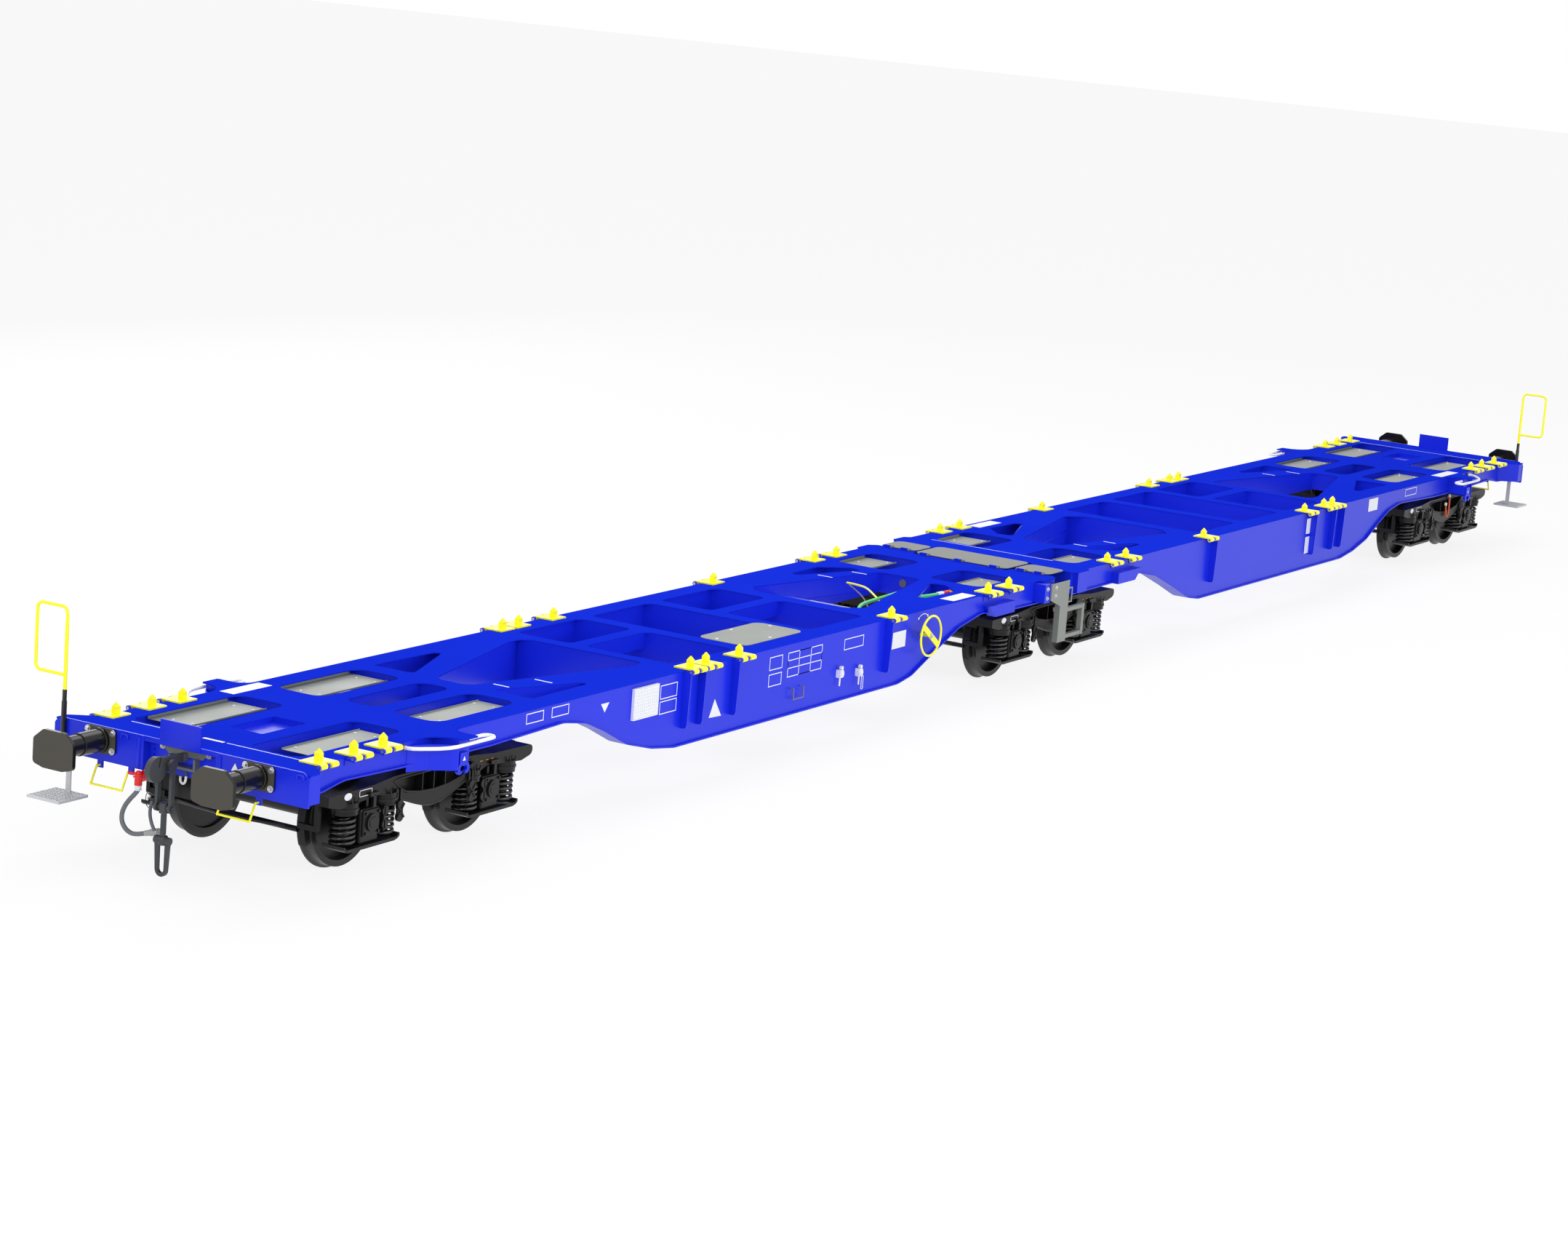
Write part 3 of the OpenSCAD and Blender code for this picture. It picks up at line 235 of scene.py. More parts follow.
def finish_with(name, tint, second, patch, grain, rough, relief, metal=0.0, coat=0.0, shine=0.5):
    material, tree, shader = surface(name, rough[0], metal, coat, shine)
    mix = tree.nodes.new("ShaderNodeGroup")
    mix.node_tree = mottled
    mix.name = "mottled_finish"
    set_inputs(mix, {"Tint": (*tint, 1), "Second Tint": (*second, 1), "Patch Size": patch, "Grain Size": grain,
                     "Rough Low": rough[0], "Rough High": rough[1]})
    bump = tree.nodes.new("ShaderNodeBump")
    set_inputs(bump, {"Strength": 1.0, "Distance": relief})
    wire(tree, (mix, "Color", shader, "Base Color"), (mix, "Roughness", shader, "Roughness"),
         (mix, "Relief", bump, "Height"), (bump, "Normal", shader, "Normal"))
    return material


def coat_node(material, *names):
    for name in names:
        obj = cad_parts[name]
        if not obj.material_slots:
            obj.data.materials.append(material)
        for part in obj.material_slots:
            part.material = material


def both(name):
    return ["unit_a_" + name, "unit_b_" + name]


hose_rubber = finish_with("grey_hose_rubber", (0.16, 0.17, 0.18), (0.11, 0.12, 0.13), 30, 260, (0.45, 0.62), 0.0006)
head_metal = finish_with("zinc_cast_metal", (0.42, 0.43, 0.43), (0.30, 0.31, 0.31), 14, 220, (0.3, 0.5), 0.0006,
                         metal=0.8)
for unit, way in halves.items():
    bends = [Vector((way * (hose_start[0] + x / 1000), way * (hose_start[1] + y / 1000), hose_start[2] + z / 1000))
             for x, y, z in hose_route]
    line = smooth_route(bends)
    hose = swept_bar(f"brake_hose_{unit}", line, hose_thickness, hose_rubber)
    fasten(hose, f"unit_{unit}", "hose_rubber")
    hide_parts(f"unit_{unit}_brake_hose")
    run = sum((b - a).length for a, b in zip(line, line[1:]))
    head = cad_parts[f"unit_{unit}_hose_head"]
    coat_node(head_metal, head.name)
    tuple(line[0])

# ------------------------------------------------------------------ blue underframes
# Welded steel plate in one blue: sills, cross beams and headstocks are gloss, the walked-on deck is matt.

paint_blue = finish_with("gloss_blue_paint", (0.005, 0.018, 0.62), (0.007, 0.022, 0.69), 0.5, 30, (0.27, 0.36),
                         0.00012, shine=0.28)
deck_blue = finish_with("matt_blue_deck_paint", (0.006, 0.022, 0.56), (0.009, 0.028, 0.63), 0.6, 60, (0.62, 0.75),
                        0.0002, shine=0.0)
for piece in ("left_sill", "right_sill", "beams", "headstock"):
    coat_node(paint_blue, *both(piece))
coat_node(deck_blue, *both("deck"))

# ------------------------------------------------------------------ deck and sill markings
# White panels, outlines and triangles are sprayed on the blue through masks; every one is left blank.
# Each is a skin about half a millimetre thick, standing on the plate; the thin white lines along the deck's plate
# edges are painted highlights, laid on as skins the same way.

deck_top = rail_top + 1.140
frame_line = 0.009
sill_face = 1.170
paint_white = finish_with("white_marking_paint", (0.80, 0.81, 0.84), (0.70, 0.71, 0.76), 5, 120, (0.4, 0.55), 0.0002)


def solid_from(name, bm, material, smooth=False):
    bmesh.ops.recalc_face_normals(bm, faces=bm.faces)
    data = bpy.data.meshes.new(name)
    bm.to_mesh(data)
    bm.free()
    data.materials.append(material)
    for face in data.polygons:
        face.use_smooth = smooth
    return link(bpy.data.objects.new(name, data))


# edges at these corners, in a fixed order
def edges_of(corners):
    return list(dict.fromkeys(edge for corner in corners for edge in corner.link_edges))


def add_slab(bm, low, high, tilt=None, bevel=0.0):
    middle = [(a + b) / 2 for a, b in zip(low, high)]
    size = [b - a for a, b in zip(low, high)]
    place = Matrix.Translation(middle) @ (tilt or Matrix.Identity(4)) @ Matrix.Diagonal((*size, 1))
    made = bmesh.ops.create_cube(bm, size=1, matrix=place)
    if bevel:
        bmesh.ops.bevel(bm, geom=edges_of(made["verts"]), offset=bevel, offset_type="OFFSET", segments=2, profile=0.5,
                        affect="EDGES", material=-1)


def add_skin(bm, outline, normal, thick=0.0006):
    face = bm.faces.new([bm.verts.new(p) for p in outline])
    raised = bmesh.ops.extrude_face_region(bm, geom=[face])
    bmesh.ops.translate(bm, vec=Vector(normal) * thick,
                        verts=[v for v in raised["geom"] if isinstance(v, bmesh.types.BMVert)])


deck_panels = {
    "a": [(-12.27, -11.71, 0.975, 1.14), (-2.56, -2.05, -1.16, -0.985)],
    "b": [(1.96, 2.52, 0.975, 1.14), (11.65, 12.28, -1.15, -0.99)],
}
# the long thin white lines along the deck's plate edges and weld seams are painted highlights on those edges; the
# short lines are white ticks
deck_edge_highlights_and_ticks = {
    "a": [((-13.79, 0.87), (-13.79, 0.53), 0.006), ((-13.79, 0.06), (-13.79, -0.17), 0.02),
          ((-13.79, -0.20), (-13.79, -1.02), 0.006), ((-10.02, -0.32), (-10.02, -0.50), 0.012),
          ((-9.54, -0.46), (-9.54, -0.66), 0.012), ((-2.49, 0.43), (-2.49, 0.62), 0.012),
          ((-1.99, 0.28), (-1.99, 0.47), 0.012)],
    "b": [((0.69, 0.94), (0.69, -0.69), 0.006), ((1.95, -0.32), (1.95, -0.50), 0.012),
          ((2.45, -0.47), (2.45, -0.63), 0.012), ((9.48, 0.43), (9.48, 0.62), 0.012),
          ((9.97, 0.28), (9.97, 0.48), 0.012), ((13.79, -0.87), (13.79, 1.02), 0.006)],
}
for unit in halves:
    bm = bmesh.new()
    for x0, x1, y0, y1 in deck_panels[unit]:
        add_skin(bm, [(x0, y0, deck_top), (x1, y0, deck_top), (x1, y1, deck_top), (x0, y1, deck_top)], (0, 0, 1))
    # painted highlights along the plate edges, and the short ticks
    for (x0, y0), (x1, y1), w in deck_edge_highlights_and_ticks[unit]:
        add_skin(bm, [(x0 - w, y0, deck_top), (x0 + w, y0, deck_top), (x1 + w, y1, deck_top), (x1 - w, y1, deck_top)],
                 (0, 0, 1))
    fasten(solid_from(f"deck_marks_and_edge_highlights_{unit}", bm, paint_white), f"unit_{unit}", "white_paint")

# blank frames, panels and triangles on the sill, as (x0, x1, z0, z1) above the rail
long_side_frames = [(-10.68, -10.40, 1.0, 1.1), (-10.27, -9.99, 1.0, 1.1), (-8.42, -8.12, 0.90, 1.04),
                    (-8.42, -8.12, 0.75, 0.88), (-6.40, -6.15, 0.90, 1.04), (-6.40, -6.15, 0.73, 0.86),
                    (-6.04, -5.36, 0.78, 1.04), (-6.04, -5.36, 0.87, 0.96), (-5.82, -5.58, 0.78, 1.04),
                    (-4.91, -4.51, 0.91, 1.03)]
long_side_panels = [(-3.91, -3.60, 0.78, 0.96)]
long_side_triangles = [((-9.45, 1.01), (-9.31, 1.01), (-9.38, 0.92)), ((-7.41, 0.76), (-7.50, 0.58), (-7.27, 0.57))]
short_side_frames = [(10.3, 10.7, 1.0, 1.1)]
short_side_panels = [(6.98, 7.27, 0.84, 1.04), (6.98, 7.27, 0.58, 0.80), (9.03, 9.34, 0.92, 1.09)]


def sill_marks(name, unit, frames, panels, triangles, way):
    bm = bmesh.new()

    def spot(x, z):
        return (way * x, -way * (sill_face + 0.0002), rail_top + z)

    def patch(x0, x1, z0, z1):
        add_skin(bm, [spot(x0, z0), spot(x1, z0), spot(x1, z1), spot(x0, z1)], (0, -way, 0))

    for x0, x1, z0, z1 in frames:
        w = frame_line
        patch(x0, x1, z0, z0 + w)
        patch(x0, x1, z1 - w, z1)
        patch(x0, x0 + w, z0 + w, z1 - w)
        patch(x1 - w, x1, z0 + w, z1 - w)
    for panel in panels:
        patch(*panel)
    for corners in triangles:
        add_skin(bm, [spot(*c) for c in corners], (0, -way, 0))
    fasten(solid_from(name, bm, paint_white), unit, "white_paint")


sill_marks("sill_marks_a_near", "unit_a", long_side_frames, long_side_panels, long_side_triangles, 1)
sill_marks("sill_marks_b_far", "unit_b", long_side_frames, long_side_panels, long_side_triangles, -1)
sill_marks("sill_marks_b_near", "unit_b", short_side_frames, short_side_panels, [], 1)
sill_marks("sill_marks_a_far", "unit_a", short_side_frames, short_side_panels, [], -1)

# ------------------------------------------------------------------ bolts
# Zinc-plated hexagon bolts and button rivets: buffer flanges, hook guide and wheel covers.

zinc = finish_with("bright_zinc_plate", (0.66, 0.67, 0.68), (0.52, 0.53, 0.55), 20, 200, (0.25, 0.4), 0.0003,
                   metal=0.9)


def bolt_set(name, body, places, radius, height, sides=6):
    bm = bmesh.new()
    for place, direction in places:
        aim = Vector(direction).to_track_quat("Z", "Y").to_matrix().to_4x4()
        stand = Matrix.Translation(Vector(place) + Vector(direction) * height / 2) @ aim
        bmesh.ops.create_cone(bm, cap_ends=True, segments=sides, radius1=radius, radius2=radius * 0.86, depth=height,
                              matrix=stand)
        washer = Matrix.Translation(Vector(place) + Vector(direction) * 0.002) @ aim
        bmesh.ops.create_cone(bm, cap_ends=True, segments=12, radius1=radius * 1.45, radius2=radius * 1.4,
                              depth=0.004, matrix=washer)
    fasten(solid_from(name, bm, zinc), body, "galvanised")


buffer_height, buffer_offset = 1.035, 0.875
cover_top = deck_top - 0.047
for unit, way in halves.items():
    spots = []
    for y in (-buffer_offset, buffer_offset):
        for dy in (-0.14, 0.14):
            for dz in (-0.08, 0.08):
                spots.append(((way * 14.195, way * (y + dy), rail_top + buffer_height + dz), (way, 0, 0)))
    bolt_set(f"buffer_bolts_{unit}", f"unit_{unit}", spots, 0.022, 0.022)
    spots = [((way * 14.0935, way * y, rail_top + 1.084), (way, 0, 0)) for y in (-0.255, 0.255)]
    bolt_set(f"hook_guide_bolts_{unit}", f"unit_{unit}", spots, 0.02, 0.02)
    spots = []
    for side in (-1, 1):
        for x in (-0.42, 0.42):
            for y in (0.575, 0.80):
                for axle in reversed(axle_pair):
                    spots.append(((way * (pivot_reach + axle + x), side * y, cover_top), (0, 0, 1)))
        for x, y in ((0.92, 0.62), (1.36, 0.62), (1.14, 0.88)):
            spots.append(((way * x, side * y, cover_top), (0, 0, 1)))
    bolt_set(f"wheel_cover_rivets_{unit}", f"unit_{unit}", spots, 0.011, 0.008, 10)

# ------------------------------------------------------------------ yellow painted pieces
# Forged spigots, bent handrails, release handles and handbrake wheels.

paint_yellow = finish_with("gloss_yellow_paint", (0.98, 0.94, 0.002), (0.94, 0.88, 0.002), 6, 120, (0.28, 0.4),
                           0.0003, coat=0.2)
coat_node(paint_yellow, *both("left_spigots"), *both("right_spigots"), *both("release_handles"), "handbrake_wheels")


def place_along(tree, axis, source="Object"):
    spot = tree.nodes.new("ShaderNodeTexCoord")
    split = tree.nodes.new("ShaderNodeSeparateXYZ")
    tree.links.new(spot.outputs[source], split.inputs[0])
    return split.outputs[axis]


def sum_of(tree, operation, first, second=None):
    step = tree.nodes.new("ShaderNodeMath")
    step.operation = operation
    tree.links.new(first, step.inputs[0])
    if second is not None:
        tree.links.new(second, step.inputs[1])
    return step


def two_tone(tree, shader, reading, first, second):
    colour = tree.nodes.new("ShaderNodeMix")
    colour.data_type = "RGBA"
    set_inputs(colour, {"A": (*first, 1), "B": (*second, 1)})
    tree.links.new(reading, colour.inputs["Factor"])
    tree.links.new(colour.outputs["Result"], shader.inputs["Base Color"])


# two colours that meet at a masked line, where the reading passes the line
def mask_off(tree, shader, reading, line, plain, masked, operation="GREATER_THAN", within=None):
    over = sum_of(tree, operation, reading)
    over.inputs[1].default_value = line
    if within is not None:
        over.inputs[2].default_value = within
    two_tone(tree, shader, over.outputs[0], plain, masked)
    return over.outputs[0]


# the handrail's yellow loop stands on a black tube: the change is a masked line at the top of the tube
tube_top = rail_top + 1.412
rail_paint, rail_tree, rail_shader = surface("yellow_loop_on_black_tube", 0.32, coat=0.2)
mask_off(rail_tree, rail_shader, place_along(rail_tree, "Z"), tube_top, (0.006, 0.006, 0.006), (0.98, 0.94, 0.002))
coat_node(rail_paint, *both("end_handrail"))

# ------------------------------------------------------------------ white side rails and holder
# Bent tube handholds beside the wings, and the small welded fittings on the sill.

gloss_white = finish_with("gloss_white_paint", (0.82, 0.83, 0.86), (0.74, 0.75, 0.80), 6, 120, (0.25, 0.4), 0.0002,
                          coat=0.2)
coat_node(gloss_white, *both("side_rails"))

# the pull ring among the white fittings is plain zinc wire: the finish changes along the sill
ring_place, ring_reach = -5.85, 0.2
fitting_paint, fitting_tree, fitting_shader = surface("white_fittings_and_zinc_ring", 0.34)
mask_off(fitting_tree, fitting_shader, place_along(fitting_tree, "X"), ring_place, (0.80, 0.81, 0.86),
         (0.16, 0.16, 0.17), operation="COMPARE", within=ring_reach)
coat_node(fitting_paint, "side_fittings")

# ------------------------------------------------------------------ galvanised pieces
# Folded and hot-dipped sheet and plate: wheel covers, footplates, access plate, ladder, steps and pins.

galvanised = finish_with("galvanised_sheet", (0.25, 0.27, 0.245), (0.20, 0.215, 0.20), 1.6, 60, (0.34, 0.5), 0.0002,
                         metal=0.25)
coat_node(galvanised, *both("wheel_covers"), "access_plate", "ladder")
pin_steel = finish_with("turned_pin_steel", (0.50, 0.51, 0.52), (0.40, 0.41, 0.42), 20, 200, (0.25, 0.4), 0.0002,
                        metal=0.85)
coat_node(pin_steel, *both("hinge_pins"))

# footplates are chequer plate: small raised lozenges in rows. The lozenge tops are painted lighter and the plate
# between them darker: a painted highlight on the raised tops and painted shade between them.
tread, tread_tree, tread_shader = surface("chequered_footplate", 0.45, metal=0.2)
tread_spot = tread_tree.nodes.new("ShaderNodeTexCoord")
tread_turn = tread_tree.nodes.new("ShaderNodeMapping")
tread_turn.inputs["Rotation"].default_value = (0, 0, math.radians(45))
tread_lozenge = tread_tree.nodes.new("ShaderNodeTexVoronoi")
set_inputs(tread_lozenge, {"Scale": 38, "Randomness": 0.0})
lozenge_rise_and_light = tread_tree.nodes.new("ShaderNodeMapRange")
set_inputs(lozenge_rise_and_light, {"From Min": 0.25, "From Max": 0.42, "To Min": 1, "To Max": 0})
tread_bump = tread_tree.nodes.new("ShaderNodeBump")
tread_bump.inputs["Distance"].default_value = 0.002
wire(tread_tree, (tread_spot, "Object", tread_turn, "Vector"), (tread_turn, "Vector", tread_lozenge, "Vector"),
     (tread_lozenge, "Distance", lozenge_rise_and_light, "Value"), (lozenge_rise_and_light, "Result", tread_bump, "Height"),
     (tread_bump, "Normal", tread_shader, "Normal"))
# painted light: light grey on the raised lozenges, dark grey on the plate between them
two_tone(tread_tree, tread_shader, lozenge_rise_and_light.outputs["Result"], (0.13, 0.14, 0.13), (0.27, 0.29, 0.27))
coat_node(tread, "footplates")

# ------------------------------------------------------------------ buffers, hooks and couplings
# Buffer barrels are black, their heads bare dark steel rubbed smooth; hook and coupling are greased forgings.

buffer_paint, buffer_tree, buffer_shader = surface("black_barrel_and_rubbed_head", 0.3, shine=0.25)
# the product of place and facing is large only on the outward face of a head
facing_out = sum_of(buffer_tree, "MULTIPLY", place_along(buffer_tree, "X"), place_along(buffer_tree, "X", "Normal"))
buffer_head = mask_off(buffer_tree, buffer_shader, facing_out.outputs[0], 12.0, (0.006, 0.006, 0.006),
                       (0.062, 0.057, 0.048))
buffer_rough = buffer_tree.nodes.new("ShaderNodeMapRange")
set_inputs(buffer_rough, {"To Min": 0.22, "To Max": 0.5})
buffer_tree.links.new(buffer_head, buffer_rough.inputs["Value"])
buffer_tree.links.new(buffer_rough.outputs["Result"], buffer_shader.inputs["Roughness"])
coat_node(buffer_paint, *both("buffers"))
forged = finish_with("greased_forging", (0.060, 0.063, 0.066), (0.035, 0.037, 0.040), 12, 160, (0.32, 0.5), 0.0006,
                     metal=0.3)
coat_node(forged, *both("coupling"))
guide_front = 14.150
hook_finish, hook_tree, hook_shader = surface("grey_guide_and_dark_hook", 0.42, metal=0.2)
from_middle = sum_of(hook_tree, "ABSOLUTE", place_along(hook_tree, "X"))
mask_off(hook_tree, hook_shader, from_middle.outputs[0], guide_front, (0.13, 0.14, 0.13), (0.052, 0.054, 0.056))
coat_node(hook_finish, *both("draw_hook"))
cock_red = finish_with("red_cock_paint", (0.80, 0.012, 0.010), (0.66, 0.010, 0.010), 12, 160, (0.3, 0.45), 0.0004)
coat_node(cock_red, *both("end_cock"))

# ------------------------------------------------------------------ bogies
# Black cast and welded frames; wheelsets are rolled steel, painted black except for the running tread.

bogie_black = finish_with("black_bogie_paint", (0.0035, 0.0035, 0.004), (0.008, 0.008, 0.008), 3, 140, (0.24, 0.40),
                          0.0005, shine=0.24)
axle_height = rail_top + 0.46
bogies = {"bogie_a": -pivot_reach, "bogie_mid": 0.0, "bogie_b": pivot_reach}
coat_node(bogie_black, *[b + "_frame" for b in bogies])

# the two wheelsets of each bogie, with the place of their axles
wheelsets = {
    "bogie_a_outer_wheelset": -pivot_reach - half_wheelbase, "bogie_a_inner_wheelset": -pivot_reach + half_wheelbase,
    "bogie_mid_a_wheelset": -half_wheelbase, "bogie_mid_b_wheelset": half_wheelbase,
    "bogie_b_outer_wheelset": pivot_reach + half_wheelbase, "bogie_b_inner_wheelset": pivot_reach - half_wheelbase,
}


def wheel_finish(name, axle):
    material, tree, shader = surface(name, 0.36, shine=0.3)
    spot = tree.nodes.new("ShaderNodeTexCoord")
    centre = tree.nodes.new("ShaderNodeMapping")
    centre.inputs["Location"].default_value = (-axle, 0, -axle_height)
    flat = tree.nodes.new("ShaderNodeVectorMath")
    flat.operation = "MULTIPLY"
    flat.inputs[1].default_value = (1, 0, 1)
    reach = tree.nodes.new("ShaderNodeVectorMath")
    reach.operation = "LENGTH"
    on_tread = tree.nodes.new("ShaderNodeMapRange")
    set_inputs(on_tread, {"From Min": 0.452, "From Max": 0.457})
    wire(tree, (spot, "Object", centre, "Vector"), (centre, "Vector", flat, 0), (flat, "Vector", reach, 0),
         (reach, "Value", on_tread, "Value"))
    two_tone(tree, shader, on_tread.outputs["Result"], (0.008, 0.008, 0.008), (0.042, 0.040, 0.037))
    return material


for node, axle in wheelsets.items():
    coat_node(wheel_finish("rolled_steel_" + node, axle), node)

# ------------------------------------------------------------------ axleboxes
# Cast boxes with a round bearing cover held by bolts, on a boat-shaped spring shelf turned up at its ends.

spring_reach = 0.275
shelf_outline = [(-0.400, 0.300), (-0.400, 0.272), (-0.372, 0.252), (-0.325, 0.240), (0.325, 0.240), (0.372, 0.252),
                 (0.400, 0.272), (0.400, 0.300), (0.385, 0.300), (0.360, 0.270), (-0.360, 0.270), (-0.385, 0.300)]
box_black = finish_with("black_axlebox_casting", (0.004, 0.004, 0.005), (0.010, 0.010, 0.009), 8, 180, (0.22, 0.40),
                        0.0008, shine=0.28)


def add_drum(bm, centre, radius, depth, sides=24, radius2=None, axis="Y"):
    tip = Matrix.Rotation(math.radians(-90), 4, "X") if axis == "Y" else Matrix.Identity(4)
    bmesh.ops.create_cone(bm, cap_ends=True, segments=sides, radius1=radius, radius2=radius2 or radius, depth=depth,
                          matrix=Matrix.Translation(centre) @ tip)


for bogie, pivot in bogies.items():
    bm = bmesh.new()
    for axle in axle_pair:
        for side in (-1, 1):
            x = pivot + axle
            near = bmesh.new()
            add_slab(near, (x - 0.134, 0.945, rail_top + 0.27), (x + 0.134, 1.105, axle_height + 0.128), bevel=0.02)
            add_slab(near, (x - 0.118, 1.09, axle_height - 0.118), (x + 0.118, 1.128, axle_height + 0.118),
                     bevel=0.012)
            add_drum(near, (x, 1.137, axle_height), 0.082, 0.02)
            add_drum(near, (x, 1.149, axle_height), 0.062, 0.012, radius2=0.05)
            for corner in range(4):
                turn_by = math.radians(45 + 90 * corner)
                bolt_x, bolt_z = x + 0.128 * math.cos(turn_by), axle_height + 0.128 * math.sin(turn_by)
                add_drum(near, (bolt_x, 1.134, bolt_z), 0.015, 0.018, 6)
            # shelf with raised rim
            add_skin(near, [(x + dx, 0.897, rail_top + z) for dx, z in shelf_outline], (0, 1, 0), 0.244)
            # damper link between the box and the inner spring cap
            inward = -1 if axle > 0 else 1
            link_x = x + inward * 0.155
            add_slab(near, (link_x - 0.012, 1.10, rail_top + 0.36), (link_x + 0.012, 1.15, rail_top + 0.585),
                     bevel=0.005)
            for z in (0.54, 0.42):
                add_drum(near, (x + inward * 0.165, 1.142, rail_top + z), 0.042, 0.016)
            # stop bracket over the box
            add_slab(near, (x - 0.018, 1.03, rail_top + 0.588), (x + 0.018, 1.07, rail_top + 0.66), bevel=0.004)
            if side < 0:
                bmesh.ops.scale(near, vec=(1, -1, 1), verts=near.verts)
                bmesh.ops.reverse_faces(near, faces=near.faces)
            spare = bpy.data.meshes.new("spare")
            near.to_mesh(spare)
            near.free()
            bm.from_mesh(spare)
            bpy.data.meshes.remove(spare)
    boxes = solid_from(f"{bogie}_box_castings", bm, box_black)
    fasten(boxes, bogie, "black_paint")
    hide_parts(f"{bogie}_axleboxes")

# ------------------------------------------------------------------ axlebox springs
# Two nests of coil springs at each box, the outer coil of five and a half turns, the inner of seven and a half.

spring_black = finish_with("black_spring_steel", (0.006, 0.006, 0.007), (0.012, 0.012, 0.012), 10, 200, (0.14, 0.24),
                           0.0003)


def add_coil(bm, centre, radius, bar, low, high, turns):
    ring = bmesh.ops.create_circle(bm, cap_ends=False, segments=8, radius=bar / 2, matrix=Matrix.Translation(
        (centre[0] + radius, centre[1], low + bar / 2)) @ Matrix.Rotation(math.radians(90), 4, "X"))["verts"]
    steps = int(turns * 18)
    rise = (high - low - bar) / steps
    bmesh.ops.spin(bm, geom=ring + edges_of(ring), cent=(*centre, low), axis=(0, 0, 1), dvec=(0, 0, rise),
                   angle=math.radians(360 * turns), steps=steps, use_merge=False, use_duplicate=False)


for bogie, pivot in bogies.items():
    bm = bmesh.new()
    for axle in axle_pair:
        for side in (-1, 1):
            for reach in (-spring_reach, spring_reach):
                centre = (pivot + axle + reach, side * 1.02)
                add_coil(bm, centre, 0.104, 0.033, rail_top + 0.272, rail_top + 0.570, 5.5)
                add_coil(bm, centre, 0.058, 0.022, rail_top + 0.272, rail_top + 0.570, 7.5)
    fasten(solid_from(f"{bogie}_coil_springs", bm, spring_black, smooth=True), bogie, "black_paint")

# ------------------------------------------------------------------ bogie side details
# Welded rims round the side windows, T-shaped stops over the boxes, friction links on their straps,
# a white dot and a blank outlined plate on each side, and small ochre test marks.

ochre = finish_with("ochre_test_marks", (0.45, 0.16, 0.010), (0.38, 0.13, 0.010), 12, 120, (0.5, 0.6), 0.0002)
window_rim = [(-0.60, 0.770), (-0.53, 0.715), (-0.42, 0.655), (-0.22, 0.620), (0, 0.607), (0.22, 0.620),
              (0.42, 0.655), (0.53, 0.715), (0.60, 0.770), (0.55, 0.786), (0.48, 0.790), (-0.48, 0.790),
              (-0.55, 0.786)]
lower_lip = [(-0.80, 0.697), (-0.66, 0.655), (-0.53, 0.616), (-0.40, 0.570), (-0.27, 0.526), (-0.14, 0.488),
             (0, 0.472), (0.14, 0.488), (0.27, 0.526), (0.40, 0.570), (0.53, 0.616), (0.66, 0.655), (0.80, 0.697)]
paint_depth = (1.1202, 1.1212)


# a block on a bogie side, from its two lengths, its two distances from the middle and its two heights
def add_side_slab(bm, side, along, across, heights, lean=0, bevel=0.0):
    inner, outer = sorted((side * across[0], side * across[1]))
    tilt = Matrix.Rotation(math.radians(lean), 4, "Y") if lean else None
    add_slab(bm, (along[0], inner, rail_top + heights[0]), (along[1], outer, rail_top + heights[1]), tilt, bevel)


